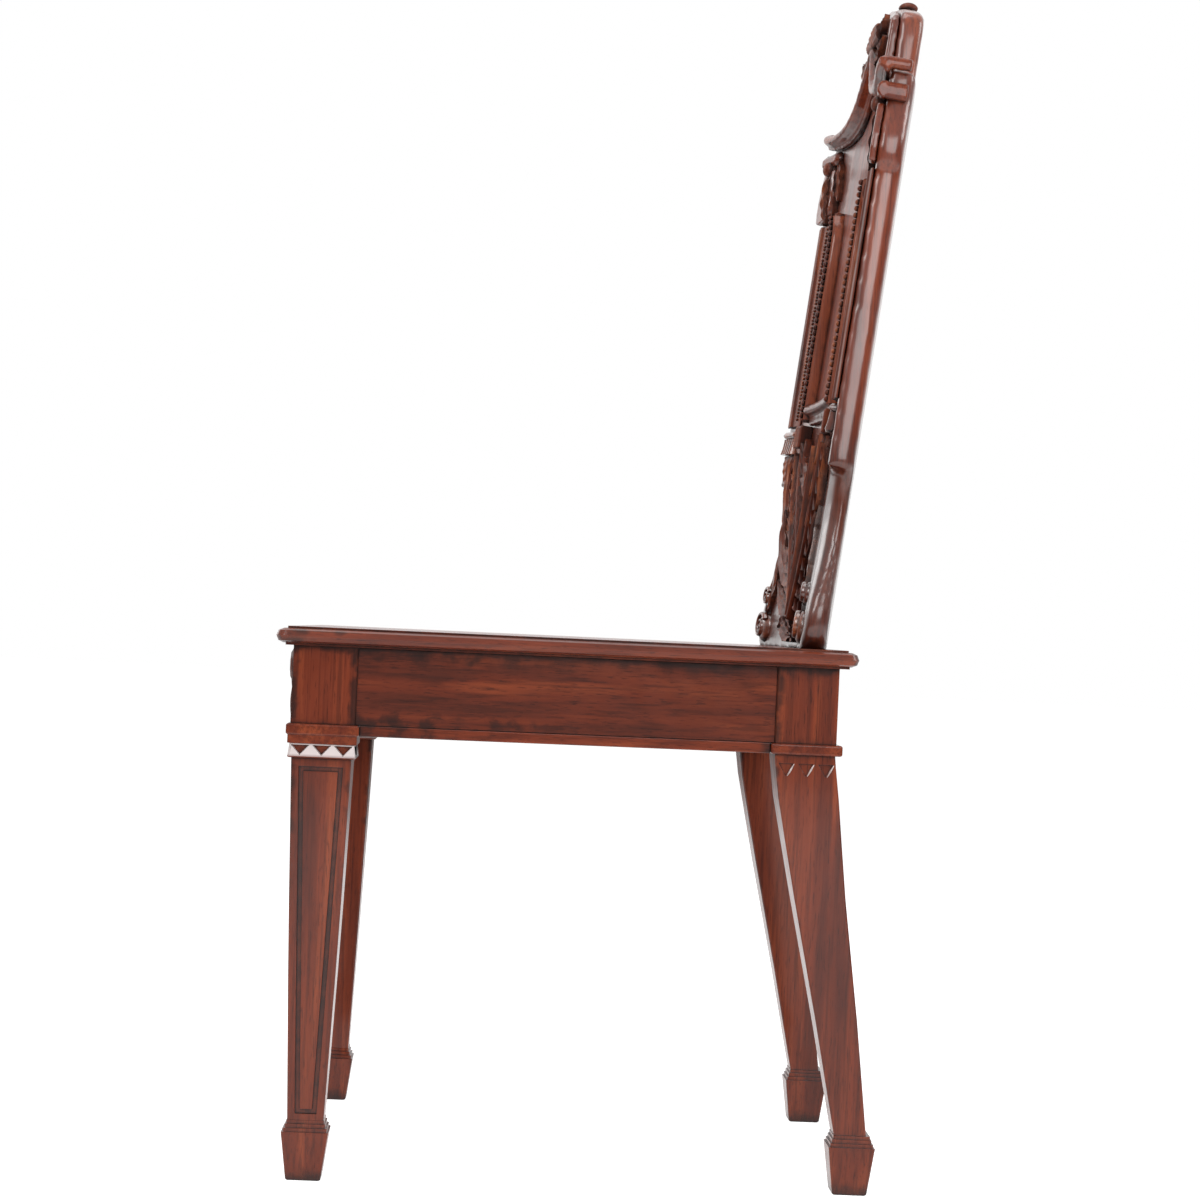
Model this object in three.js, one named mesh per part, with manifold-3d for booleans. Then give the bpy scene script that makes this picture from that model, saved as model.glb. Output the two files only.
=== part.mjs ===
// A shield back hall chair in mahogany: a framed seat on four tapered legs, and a carved, waisted board
// back that is dished from side to side and leans from the seat. Millimetres, +Z up, the sitter faces -Y
// and the sitter's left is +X.
import * as THREE from "three";
import { mergeVertices } from "three/addons/utils/BufferGeometryUtils.js";
import Module from "manifold-3d";

const wasm = await Module();
wasm.setup();

// Seat board
const seatHeight = 470;
const seatThickness = 16;
const seatFrontHalfWidth = 239;
const seatRearHalfWidth = 212;
const seatHalfDepth = 249;
const seatCornerRadius = 11;
const nosingInset = 9.5;
const lowerFilletInset = 8;
const nosingFillet = 1.8;
const leastCornerRadius = 1.2;

// Seat frame
const seatFrameDepth = 82;
const frameBottom = seatHeight - seatFrameDepth;
const railThickness = 22;
const railSetBack = 1.5;
const railBeadHeight = 9;
const railBeadWidth = 14;
const railBeadProjection = 1.2;
const tenonThickness = 10;
const tenonLength = 22;
const tenonShoulder = 10;
const clearance = 0.3;
const flatness = 0.005;

// Front legs
const frontLegX = 197.5;
const frontLegY = -206.8;
const frontPostHalf = 27.5;
const shaftTopHalf = 25.5;
const shaftFootHalf = 15.5;
const shaftSwell = 0.6;
const arris = 1.2;
const panelMargin = 6.5;
const panelGrooveWidth = 4;
const panelGrooveDepth = 2;
const panelBelowFrame = 36;
const panelTop = frameBottom - panelBelowFrame;
const panelBottom = 57;

// Feet, alike on all four legs
const footHeight = 41.8;
const footTopHalf = 20.15;
const footSoleHalf = 15.05;
const footRounding = 1.3;
const neckSteps = [
  { top: 45, half: 18.6 },
  { top: 48.5, half: 17.2 },
  { top: 51.5, half: 16 },
];
const neckTop = 51.5;

// Rear legs
const rearLegX = 173.5;
const rearPostY = 206.2;
const rearPostHalfAcross = 25;
const rearPostHalfDeep = 26.75;
const rearShaftHalfAcross = 15;
const rearShaftHalfDeep = 14;
const rearFootY = 262.5;
const rearAnkleLean = 1.5;
const rearLegLedge = 0.5;

// Collars below the seat frame
const collarBeadHeight = 9.5;
const collarBandHeight = 7.2;
const lappetHeight = 12.3;
const collarBeadProjection = 3.3;
const rearCollarRearProjection = 5.2;
const collarBandHalf = 29.3;
const lappetTopHalf = 27.4;
const lappetBottomHalf = 28.8;
const lappetLip = 1.3;
const lappetCount = 3;
const lappetCutDepth = 1.1;
const zigzagDrop = 17;
const zigzagDepth = 11;
const zigzagTop = frameBottom - zigzagDrop;
const zigzagBottom = zigzagTop - zigzagDepth;

// Carved patera and husk on the front posts
const pateraRadius = 15;
const pateraHeight = 3.2;
const pateraDrop = 33;
const pateraRise = seatHeight - pateraDrop;
const pateraPetals = 8;
const huskWidth = 11;
const huskRise = 6;
const huskBottom = frameBottom + huskRise;

// Back board. Across, up and out of the board are measured from its middle, its foot and its rear face.
const backRearY = 220;
const backRake = Math.atan(0.1148);
const backHalfWidth = 202;
const backHeight = 612;
const boardThickness = 23;
const boardRearBevel = 4;
const boardRearBevelRise = 4.5;
const boardFrontBevel = 2.2;
const dishRadius = 1104;
const dishDepth = 16.35;
const dishStep = 24;
const backTenonThickness = 10;
const backTenonInner = 70;
const backTenonOuter = 110;
const backTenonFront = 216;
const backTenonLength = 44;
const backHousingDepth = 3;

// Carved work on the back
const waistReach = 22;
const panelRecess = 4;
const panelThickness = 5.2;
const crestLayer = 7.7;
const crestLayerBevel = 2;
const corniceHeight = 15;
const corniceFront = 17.7;
const corniceEarFront = 11.2;
const returnRear = 4.5;
const returnProjection = 7;
const returnLap = 5;
const earRollHalfHeight = 7.8;
const earRollFront = 8.7;
const earRollUpShare = 0.79444;
const earRollUp = backHeight * earRollUpShare;
const earRollInner = 158;
const bracketThickness = 6.3;
const bracketBevel = 1.2;
const earLeafWidth = 15;
const earLeafFront = 12.7;
const frameMouldingWidth = 43;
const frameMouldingFront = 6.2;
const beadBorderWidth = 14;
const beadBorderFront = 9.7;
const sillUpShare = 0.3652;
const sillUp = backHeight * sillUpShare;
const sillHeight = 19;
const sillFront = 12.7;
const pilasterWidth = 24;
const pilasterTopDrop = 9.9;
const pilasterHeight = 21.6;
const pilasterTop = sillUp - pilasterTopDrop;
const pilasterBottom = pilasterTop - pilasterHeight;
const pilasterFront = 12.7;
const reedCount = 5;
const reedDepth = 1.6;
const consoleInner = 150;
const consoleOuter = 190;
const consoleTopDrop = 14;
const consoleHeight = 25;
const consoleTop = sillUp - consoleTopDrop;
const consoleBottom = consoleTop - consoleHeight;
const consoleFront = 9.7;
const fluteCount = 5;
const fluteDepth = 2;
const dropHeight = 26.5;
const dropBottom = consoleBottom - dropHeight;
const dropFront = 7.7;
const dropScallops = 4;
const dropScallop = 1.5;
const dropSetIn = 3;
const palmFront = 12;
const palmStemWidth = 9;
const leafletPairs = 5;
const leafletLength = 46;
const leafletWidth = 12;
const leafletHeight = 10;
const leafletAngle = Math.PI / 4.4;
const centreStemWidth = 11;
const centreStemFront = 12.7;
const scrollSink = 10;
const scrollWidthShare = 0.0147;
const scrollWidth = backHeight * scrollWidthShare;
const scrollFront = 7;
const eyeSizeShare = 0.00883;
const voluteEye = backHeight * eyeSizeShare;
const shellRibs = 7;
const shellReach = 56;
const shellRibWidth = 19;
const shellFront = 9;
const finialWidth = 8;
const finialSeat = 11;
const finialRise = -1;
const finialDepth = 16;
const finialRear = 3;

// Screws
const screwSides = 8;
const screwRadius = 2;
const screwHeadRadius = 3.8;
const screwHeadHeight = 2.4;
const seatScrewBite = 9;
const blockHeight = 40;
const blockReachAcross = 60;
const blockReachBack = 59;
const backScrewDrop = 30;
const backScrewRise = seatHeight - backScrewDrop;
const backScrewLength = 18.5;
const backScrewSpread = 10;

const wood = { colour: 0x6e2f1d, roughness: 0.34, metalness: 0 };
const panelWood = { colour: 0x7d3a24, roughness: 0.26, metalness: 0 };
const carvedWood = { colour: 0x66301f, roughness: 0.42, metalness: 0 };
const blockWood = { colour: 0x8a5a38, roughness: 0.7, metalness: 0 };
const steel = { colour: 0x8d8a84, roughness: 0.4, metalness: 0.9 };

// Joins and cuts

// A closed geometry as a solid that can be joined and cut.
function toSolid(geometry) {
  const bare = geometry.clone();
  bare.deleteAttribute("normal");
  bare.deleteAttribute("uv");
  const merged = mergeVertices(bare);
  const index = merged.index.array;
  const faces = [];
  for (let i = 0; i < index.length; i += 3) {
    const face = index.slice(i, i + 3);
    if (new Set(face).size === 3) faces.push(...face);
  }
  const vertProperties = new Float32Array(merged.attributes.position.array);
  const mesh = new wasm.Mesh({ numProp: 3, vertProperties, triVerts: new Uint32Array(faces) });
  return new wasm.Manifold(mesh);
}

function toGeometry(solid) {
  const { vertProperties, triVerts } = solid.getMesh();
  const geometry = new THREE.BufferGeometry();
  geometry.setAttribute("position", new THREE.BufferAttribute(Float32Array.from(vertProperties), 3));
  geometry.setIndex(new THREE.BufferAttribute(Uint32Array.from(triVerts), 1));
  return geometry;
}

function join(first, ...others) {
  return toGeometry(others.reduce((sum, next) => sum.add(toSolid(next)), toSolid(first)));
}

function cut(body, ...tools) {
  return toGeometry(tools.reduce((left, tool) => left.subtract(toSolid(tool)), toSolid(body)));
}

function moved(geometry, x, y, z) {
  return geometry.clone().translate(x, y, z);
}

function turnedRound(geometry) {
  const { array } = geometry.index;
  for (let i = 0; i < array.length; i += 3) {
    [array[i + 1], array[i + 2]] = [array[i + 2], array[i + 1]];
  }
  return geometry;
}

function mirrored(geometry) {
  return turnedRound(toGeometry(toSolid(geometry)).scale(-1, 1, 1));
}

// The piece with room left all round for the bodies that it stands against.
function clearOf(piece, ...bodies) {
  const steps = [
    [0, 0, clearance],
    [clearance, 0, 0],
    [-clearance, 0, 0],
    [0, clearance, 0],
    [0, -clearance, 0],
  ];
  const tools = bodies.flatMap((body) => steps.map((step) => moved(body, ...step)));
  return cut(piece, ...tools);
}

// Solids from outlines

function box(x0, x1, y0, y1, z0, z1) {
  const geometry = new THREE.BoxGeometry(x1 - x0, y1 - y0, z1 - z0);
  return geometry.translate((x0 + x1) / 2, (y0 + y1) / 2, (z0 + z1) / 2);
}

function capFaces(ring, start, flipped) {
  const normal = new THREE.Vector3();
  ring.forEach((point, i) => {
    const next = ring[(i + 1) % ring.length];
    normal.x += (point.y - next.y) * (point.z + next.z);
    normal.y += (point.z - next.z) * (point.x + next.x);
    normal.z += (point.x - next.x) * (point.y + next.y);
  });
  const size = normal.toArray().map(Math.abs);
  const widest = size.indexOf(Math.max(...size));
  const [u, v] = [["y", "z"], ["z", "x"], ["x", "y"]][widest];
  const flat = ring.map((point) => new THREE.Vector2(point[u], point[v]));
  const turn = Math.sign(THREE.ShapeUtils.area(flat));
  return THREE.ShapeUtils.triangulateShape(flat, []).flatMap((face) => {
    const faceTurn = Math.sign(THREE.ShapeUtils.area(face.map((i) => flat[i])));
    const [a, b, c] = face.map((i) => i + start);
    return (faceTurn === turn) === flipped ? [a, c, b] : [a, b, c];
  });
}

// Faces between the two halves of a ring whose points stand in pairs, front and rear.
function pairedCap(count, start, flipped) {
  const faces = [];
  for (let i = 0; i + 1 < count / 2; i += 1) {
    const [a, b] = [start + i, start + i + 1];
    const [c, d] = [start + count - 2 - i, start + count - 1 - i];
    faces.push(...(flipped ? [a, c, b, a, d, c] : [a, b, c, a, c, d]));
  }
  return faces;
}

// A closed skin over a row of rings with the same number of points.
function loft(rings, paired = false) {
  const count = rings[0].length;
  const index = [];
  for (let r = 0; r + 1 < rings.length; r += 1) {
    for (let i = 0; i < count; i += 1) {
      const a = r * count + i;
      const b = r * count + ((i + 1) % count);
      index.push(a, b, b + count, a, b + count, a + count);
    }
  }
  const last = (rings.length - 1) * count;
  if (paired) {
    index.push(...pairedCap(count, 0, true), ...pairedCap(count, last, false));
  } else {
    index.push(...capFaces(rings[0], 0, true), ...capFaces(rings.at(-1), last, false));
  }
  const geometry = new THREE.BufferGeometry().setFromPoints(rings.flat());
  geometry.setIndex(new THREE.BufferAttribute(Uint32Array.from(index), 1));
  return toSolid(geometry).volume() < 0 ? turnedRound(geometry) : geometry;
}

function extrude(outline, depth) {
  return new THREE.ExtrudeGeometry(new THREE.Shape(outline), { depth, bevelEnabled: false });
}

function flatRing(outline, z) {
  return outline.map((point) => new THREE.Vector3(point.x, point.y, z));
}

function leftNormal(from, to) {
  return new THREE.Vector2(from.y - to.y, to.x - from.x).normalize();
}

// A counter-clockwise outline moved inwards by a distance, with its corners kept sharp.
function insetOutline(outline, distance) {
  return outline.map((point, i) => {
    const before = leftNormal(outline.at(i - 1), point);
    const after = leftNormal(point, outline[(i + 1) % outline.length]);
    const reach = distance / (1 + before.dot(after));
    return point.clone().addScaledVector(before, reach).addScaledVector(after, reach);
  });
}

function roundedOutline(corners, radius) {
  const roundSteps = 3;
  return corners.flatMap((corner, i) => {
    const towards = (other) => other.clone().sub(corner).setLength(radius).add(corner);
    const start = towards(corners.at(i - 1));
    const end = towards(corners[(i + 1) % corners.length]);
    return new THREE.QuadraticBezierCurve(start, corner, end).getPoints(roundSteps);
  });
}

// A square section with its arrises taken off.
function squareRing(x, y, z, halfX, halfY, corner) {
  const outline = [
    [-halfX, -halfY + corner],
    [-halfX + corner, -halfY],
    [halfX - corner, -halfY],
    [halfX, -halfY + corner],
    [halfX, halfY - corner],
    [halfX - corner, halfY],
    [-halfX + corner, halfY],
    [-halfX, halfY - corner],
  ];
  return outline.map(([dx, dy]) => new THREE.Vector3(x + dx, y + dy, z));
}

function revolve(profile, segments) {
  const points = profile.map(([radius, height]) => new THREE.Vector2(radius, height));
  return new THREE.LatheGeometry(points, segments).rotateX(Math.PI / 2);
}

// Seat board, with a half-round nosing between two fillets

const seatBottom = seatHeight - seatThickness;

function seatRing(inset, z) {
  const corners = [
    new THREE.Vector2(-seatFrontHalfWidth, -seatHalfDepth),
    new THREE.Vector2(seatFrontHalfWidth, -seatHalfDepth),
    new THREE.Vector2(seatRearHalfWidth, seatHalfDepth),
    new THREE.Vector2(-seatRearHalfWidth, seatHalfDepth),
  ];
  const radius = Math.max(seatCornerRadius - inset, leastCornerRadius);
  return flatRing(roundedOutline(insetOutline(corners, inset), radius), z);
}

function makeSeatBoard(holes) {
  const radius = seatThickness / 2 - nosingFillet;
  const middle = seatBottom + seatThickness / 2;
  const nosingSteps = 4;
  const rings = [
    seatRing(lowerFilletInset, seatBottom),
    seatRing(lowerFilletInset, seatBottom + nosingFillet),
  ];
  for (let i = 0; i <= nosingSteps; i += 1) {
    const angle = (i / nosingSteps - 1 / 2) * Math.PI;
    rings.push(seatRing(radius * (1 - Math.cos(angle)), middle + radius * Math.sin(angle)));
  }
  rings.push(seatRing(nosingInset, seatHeight - nosingFillet));
  rings.push(seatRing(nosingInset, seatHeight));
  return cut(loft(rings), ...holes);
}

// Legs

function footRings(x, y) {
  const rings = [
    squareRing(x, y, 0, footSoleHalf - footRounding, footSoleHalf - footRounding, arris),
    squareRing(x, y, footRounding, footSoleHalf, footSoleHalf, arris),
    squareRing(x, y, footHeight, footTopHalf, footTopHalf, arris),
  ];
  let level = footHeight;
  for (const { top, half } of neckSteps) {
    rings.push(squareRing(x, y, level, half, half, arris));
    rings.push(squareRing(x, y, top, half, half, arris));
    level = top;
  }
  return rings;
}

function frontShaftHalf(z) {
  const share = (z - neckTop) / (lappetBottom - neckTop);
  return shaftFootHalf + (shaftTopHalf - shaftFootHalf) * share;
}

const lappetBottom = frameBottom - collarBeadHeight - collarBandHeight - lappetHeight;

// A sunk frame round the face of the shaft, narrowing with it.
function grooveTool() {
  const ring = (top, bottom, inset) => [
    new THREE.Vector2(-frontShaftHalf(bottom) + inset, bottom),
    new THREE.Vector2(frontShaftHalf(bottom) - inset, bottom),
    new THREE.Vector2(frontShaftHalf(top) - inset, top),
    new THREE.Vector2(-frontShaftHalf(top) + inset, top),
  ];
  const shape = new THREE.Shape(ring(panelTop, panelBottom, panelMargin));
  const inner = ring(
    panelTop - panelGrooveWidth,
    panelBottom + panelGrooveWidth,
    panelMargin + panelGrooveWidth,
  );
  shape.holes.push(new THREE.Path(inner));
  const depth = panelGrooveDepth * 2;
  const tool = new THREE.ExtrudeGeometry(shape, { depth, bevelEnabled: false });
  const { position } = tool.attributes;
  for (let i = 0; i < position.count; i += 1) {
    const out = frontShaftHalf(position.getY(i)) + panelGrooveDepth - position.getZ(i);
    position.setXYZ(i, out, -position.getX(i), position.getY(i));
  }
  return tool;
}

function makeFrontLeg(mortises) {
  const rings = footRings(frontLegX, frontLegY);
  const shaftSteps = 5;
  for (let i = 0; i <= shaftSteps; i += 1) {
    const z = neckTop + ((lappetBottom - neckTop) * i) / shaftSteps;
    const half = frontShaftHalf(z) + shaftSwell * Math.sin((Math.PI * i) / shaftSteps);
    rings.push(squareRing(frontLegX, frontLegY, z, half, half, arris));
  }
  const ring = (z, half) => rings.push(squareRing(frontLegX, frontLegY, z, half, half, arris));
  ring(frameBottom, shaftTopHalf);
  ring(frameBottom, frontPostHalf);
  ring(seatBottom, frontPostHalf);
  const outerGroove = grooveTool().translate(frontLegX, frontLegY, 0);
  const frontGroove = grooveTool().rotateZ(-Math.PI / 2).translate(frontLegX, frontLegY, 0);
  return cut(loft(rings), outerGroove, frontGroove, ...mortises);
}

// Stations of the raked rear leg: height as a share of the clear height below the frame, how far back
// as a share of the whole rake, and half the depth as a share of half the post.
const rearStationShares = [
  [0.3866, 0.6785, 0.68],
  [0.6572, 0.3357, 0.834],
  [0.768, 0.2096, 0.908],
  [0.8789, 0.087, 0.9813],
  [0.951, 0.018, 0.9813],
];

function rearStations() {
  const reach = rearFootY - rearPostY;
  const upright = frameBottom - collarBeadHeight;
  const halfDeep = rearPostHalfDeep - rearLegLedge;
  return [
    [neckTop, rearFootY - rearAnkleLean, rearShaftHalfDeep],
    ...rearStationShares.map(([up, lean, deep]) => [
      frameBottom * up,
      rearPostY + reach * lean,
      rearPostHalfDeep * deep,
    ]),
    [upright, rearPostY, halfDeep],
    [frameBottom, rearPostY, halfDeep],
  ];
}

function zigzagTools(acrossHalf, out) {
  const step = (acrossHalf * 2) / lappetCount;
  const tools = [];
  for (let i = 0; i < lappetCount; i += 1) {
    const start = -acrossHalf + step * i;
    const inset = step / 8;
    const outline = [
      new THREE.Vector2(start + step / 2, zigzagBottom),
      new THREE.Vector2(start + step - inset, zigzagTop),
      new THREE.Vector2(start + inset, zigzagTop),
    ];
    const tool = extrude(outline, lappetCutDepth * 3).rotateX(Math.PI / 2);
    tools.push(tool.translate(0, -out + lappetCutDepth, 0));
  }
  return tools;
}

function makeRearLeg(mortises) {
  const rings = footRings(rearLegX, rearFootY);
  const stations = rearStations();
  for (const [z, y, halfDeep] of stations) {
    const share = Math.min((z - neckTop) / (zigzagBottom - neckTop), 1);
    const top = rearPostHalfAcross - rearLegLedge;
    const halfAcross = rearShaftHalfAcross + (top - rearShaftHalfAcross) * share;
    rings.push(squareRing(rearLegX, y, z, halfAcross, halfDeep, arris));
  }
  const post = (z) => squareRing(rearLegX, rearPostY, z, rearPostHalfAcross, rearPostHalfDeep, arris);
  rings.push(post(frameBottom), post(seatBottom));
  const bandY = stations.at(-3)[1];
  const outHalf = rearPostHalfAcross - rearLegLedge;
  const outer = zigzagTools(rearPostHalfDeep - rearLegLedge * 2, outHalf).map((tool) =>
    tool.rotateZ(Math.PI / 2).translate(rearLegX, bandY, 0),
  );
  const rear = zigzagTools(outHalf - rearLegLedge, rearPostHalfDeep).map((tool) =>
    tool.rotateZ(Math.PI).translate(rearLegX, bandY, 0),
  );
  return cut(loft(rings), ...outer, ...rear, ...mortises);
}

// Collars: a bead, a band and a row of lappets round the front legs, a bead alone round the rear ones

function beadRings(x, y, bottom, halfX, halfY) {
  const rounding = collarBeadHeight / 8;
  return [
    squareRing(x, y, bottom, halfX - rounding, halfY - rounding, arris),
    squareRing(x, y, bottom + rounding, halfX, halfY, arris),
    squareRing(x, y, frameBottom - rounding, halfX, halfY, arris),
    squareRing(x, y, frameBottom, halfX - rounding, halfY - rounding, arris),
  ];
}

function boreTool(x, y, bottom, halfX, halfY) {
  const ring = (z) => squareRing(x, y, z, halfX + clearance, halfY + clearance, arris);
  return loft([ring(bottom - clearance * 2), ring(frameBottom + clearance)]);
}

function makeFrontCollar() {
  const x = frontLegX;
  const y = frontLegY;
  const beadHalf = frontPostHalf + collarBeadProjection;
  const beadBottom = frameBottom - collarBeadHeight;
  const bandBottom = beadBottom - collarBandHeight;
  const ring = (z, half) => squareRing(x, y, z, half, half, arris);
  const rings = [
    ring(lappetBottom, lappetBottomHalf - lappetLip),
    ring(lappetBottom + lappetLip / 2, lappetBottomHalf),
    ring(lappetBottom + lappetLip, lappetBottomHalf),
    ring(bandBottom, lappetTopHalf),
    ring(bandBottom, collarBandHalf),
    ring(beadBottom, collarBandHalf),
    ...beadRings(x, y, beadBottom, beadHalf, beadHalf),
  ];
  const bottom = lappetBottom + lappetLip * 2;
  const step = (lappetTopHalf * 2) / lappetCount;
  const tools = [];
  for (let side = 0; side < 4; side += 1) {
    for (let i = 0; i < lappetCount; i += 1) {
      const start = -lappetTopHalf + step * i;
      const gap = step / 12;
      const outline = [
        new THREE.Vector2(start + step / 2, bottom),
        new THREE.Vector2(start + step - gap, bandBottom - gap),
        new THREE.Vector2(start + gap, bandBottom - gap),
      ];
      const tool = extrude(outline, lappetCutDepth * 3).rotateX(Math.PI / 2);
      tool.translate(0, -lappetTopHalf + lappetCutDepth, 0).rotateZ((Math.PI / 2) * side);
      tools.push(tool.translate(x, y, 0));
    }
  }
  const bore = boreTool(x, y, lappetBottom, shaftTopHalf, shaftTopHalf);
  return cut(loft(rings), ...tools, bore);
}

function makeRearCollar() {
  const halfX = rearPostHalfAcross - rearLegLedge;
  const halfY = rearPostHalfDeep - rearLegLedge;
  const shift = (rearCollarRearProjection - collarBeadProjection) / 2;
  const outerX = rearPostHalfAcross + collarBeadProjection;
  const outerY = rearPostHalfDeep + collarBeadProjection + shift;
  const bottom = frameBottom - collarBeadHeight;
  const ring = loft(beadRings(rearLegX, rearPostY + shift, bottom, outerX, outerY));
  return cut(ring, boreTool(rearLegX, rearPostY, bottom, halfX, halfY));
}

// A flower with eight petals over a hanging husk, on the front of each front post

function makePatera() {
  const petalSteps = pateraPetals * 2;
  const levels = [
    [1, 0],
    [1, 1 / 3],
    [0.72, 1],
    [0.4, 0.62],
    [0.26, 1],
  ];
  const rings = levels.map(([spread, rise]) => {
    const ring = [];
    for (let i = 0; i < petalSteps; i += 1) {
      const angle = (i / petalSteps) * Math.PI * 2;
      const lobe = 1 - (Math.abs(Math.sin((angle * pateraPetals) / 2)) < 1 / 4 ? spread / 7 : 0);
      const radius = pateraRadius * spread * lobe;
      const [x, y] = [radius * Math.cos(angle), radius * Math.sin(angle)];
      ring.push(new THREE.Vector3(x, y, pateraHeight * rise));
    }
    return ring;
  });
  const flower = loft(rings);
  const huskTop = pateraRise - pateraRadius / 2;
  const huskSteps = 9;
  const huskPath = [];
  for (let i = 0; i <= huskSteps; i += 1) {
    const up = huskTop + ((huskBottom - huskTop) * i) / huskSteps - pateraRise;
    huskPath.push(new THREE.Vector2(0, up));
  }
  const husk = runMoulding(huskPath, leafSection, 0, (share) => {
    const wave = Math.abs(Math.cos(share * Math.PI * 1.5));
    return [huskWidth * (1 / 3 + (wave * 2) / 3), (pateraHeight * (2 + wave)) / 4];
  });
  const front = frontLegY - frontPostHalf - clearance;
  return join(flower, husk).rotateX(Math.PI / 2).translate(frontLegX, front, pateraRise);
}

// Seat frame: rails tenoned into the posts, with a bead under each

const frontPostInnerX = frontLegX - frontPostHalf;
const frontPostInnerY = frontLegY + frontPostHalf;
const rearPostInnerX = rearLegX - rearPostHalfAcross;
const rearPostInnerY = rearPostY - rearPostHalfDeep;
const frontRailOuterY = frontLegY - frontPostHalf + railSetBack;
const rearRailOuterY = rearPostY + rearPostHalfDeep - railSetBack;
const rearRailInnerY = rearRailOuterY - railThickness;
const sideFrontOuterX = frontLegX + frontPostHalf - railSetBack;
const sideRearOuterX = rearLegX + rearPostHalfAcross - railSetBack;
const tenonBottom = frameBottom + tenonShoulder;
const tenonTop = seatBottom - tenonShoulder;
const tenonCheek = (railThickness - tenonThickness) / 2;

// The side rails draw in towards the rear: how far out a face lies at a place along them.
function sideRailX(y, inset) {
  const share = (y - frontPostInnerY) / (rearPostInnerY - frontPostInnerY);
  return sideFrontOuterX + (sideRearOuterX - sideFrontOuterX) * share - inset;
}

function grown(x0, x1, y0, y1, z0, z1) {
  const g = clearance;
  return box(x0 - g, x1 + g, y0 - g, y1 + g, z0 - g, z1 + g);
}

const frontTenon = [
  frontPostInnerX,
  frontPostInnerX + tenonLength,
  frontRailOuterY + tenonCheek,
  frontRailOuterY + tenonCheek + tenonThickness,
  tenonBottom,
  tenonTop,
];
const rearTenon = [
  rearPostInnerX,
  rearPostInnerX + tenonLength,
  rearRailInnerY + tenonCheek,
  rearRailInnerY + tenonCheek + tenonThickness,
  tenonBottom,
  tenonTop,
];
const sideFrontTenon = [
  sideFrontOuterX - tenonCheek - tenonThickness,
  sideFrontOuterX - tenonCheek,
  frontPostInnerY - tenonLength,
  frontPostInnerY,
  tenonBottom,
  tenonTop,
];
const sideRearTenon = [
  sideRearOuterX - tenonCheek - tenonThickness,
  sideRearOuterX - tenonCheek,
  rearPostInnerY,
  rearPostInnerY + tenonLength,
  tenonBottom,
  tenonTop,
];

function makeCrossRail(halfLength, innerY, outerY, tenon, holes) {
  const body = box(-halfLength, halfLength, innerY, outerY, frameBottom, seatBottom);
  const left = box(...tenon);
  return cut(join(body, left, mirrored(left)), ...holes);
}

function makeSideRail() {
  const outline = [
    new THREE.Vector2(sideRailX(frontPostInnerY, railThickness), frontPostInnerY),
    new THREE.Vector2(sideRailX(frontPostInnerY, 0), frontPostInnerY),
    new THREE.Vector2(sideRailX(rearPostInnerY, 0), rearPostInnerY),
    new THREE.Vector2(sideRailX(rearPostInnerY, railThickness), rearPostInnerY),
  ];
  const body = extrude(outline, seatBottom - frameBottom).translate(0, 0, frameBottom);
  return join(body, box(...sideFrontTenon), box(...sideRearTenon));
}

function makeCrossBead(halfLength, outerY, forward) {
  const bottom = frameBottom - railBeadHeight;
  const half = halfLength - collarBeadProjection - clearance;
  const face = outerY + forward * railBeadProjection;
  const back = face - forward * railBeadWidth;
  return box(-half, half, Math.min(face, back), Math.max(face, back), bottom, frameBottom);
}

function makeSideBead() {
  const front = frontPostInnerY + collarBeadProjection + clearance;
  const rear = rearPostInnerY - collarBeadProjection - clearance;
  const inner = railBeadWidth - railBeadProjection;
  const outline = [
    new THREE.Vector2(sideRailX(front, inner), front),
    new THREE.Vector2(sideRailX(front, -railBeadProjection), front),
    new THREE.Vector2(sideRailX(rear, -railBeadProjection), rear),
    new THREE.Vector2(sideRailX(rear, inner), rear),
  ];
  return extrude(outline, railBeadHeight).translate(0, 0, frameBottom - railBeadHeight);
}

// A block glued into a corner of the frame, notched round the post, with the place of its screw.
function cornerBlock(postX, postY, railY) {
  const inward = Math.sign(postY - railY);
  const endY = postY + inward * blockReachBack;
  const sideInset = railThickness + clearance;
  const postFace = postY + inward * clearance;
  const outline = [
    new THREE.Vector2(postX - blockReachAcross, railY),
    new THREE.Vector2(postX - clearance, railY),
    new THREE.Vector2(postX - clearance, postFace),
    new THREE.Vector2(sideRailX(postFace, sideInset), postFace),
    new THREE.Vector2(sideRailX(endY, sideInset), endY),
  ];
  const slope = outline[0].clone().add(outline[4]).divideScalar(2);
  const spot = slope.add(outline[2]).divideScalar(2);
  const body = extrude(outline, blockHeight).translate(0, 0, seatBottom - blockHeight);
  return { body, spot };
}

// A countersunk screw pointing up from its head, or the hole for it when room is added.
function screw(length, room) {
  const shank = screwRadius + room;
  const profile = [
    [0, -room],
    [screwHeadRadius + room, -room],
    [shank, screwHeadHeight],
    [shank, length - screwRadius],
    [0, length + room],
  ];
  return revolve(profile, screwSides);
}

const seatScrewLength = blockHeight + seatScrewBite;
const blocks = {
  front: cornerBlock(frontPostInnerX, frontPostInnerY, frontRailOuterY + railThickness),
  rear: cornerBlock(rearPostInnerX, rearPostInnerY, rearRailInnerY),
};

function seatScrew(end, room) {
  const { spot } = blocks[end];
  return screw(seatScrewLength, room).translate(spot.x, spot.y, seatBottom - blockHeight);
}

// Two tenons below the back pass through the seat into the rear rail, where screws hold them.
const backTenonRear = backTenonFront + backTenonThickness;
const backTenonBottom = seatHeight - backTenonLength;
const backTenon = [
  backTenonInner,
  backTenonOuter,
  backTenonFront,
  backTenonRear,
  backTenonBottom,
  seatHeight + boardThickness,
];
const backTenonMiddle = (backTenonInner + backTenonOuter) / 2;

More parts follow.
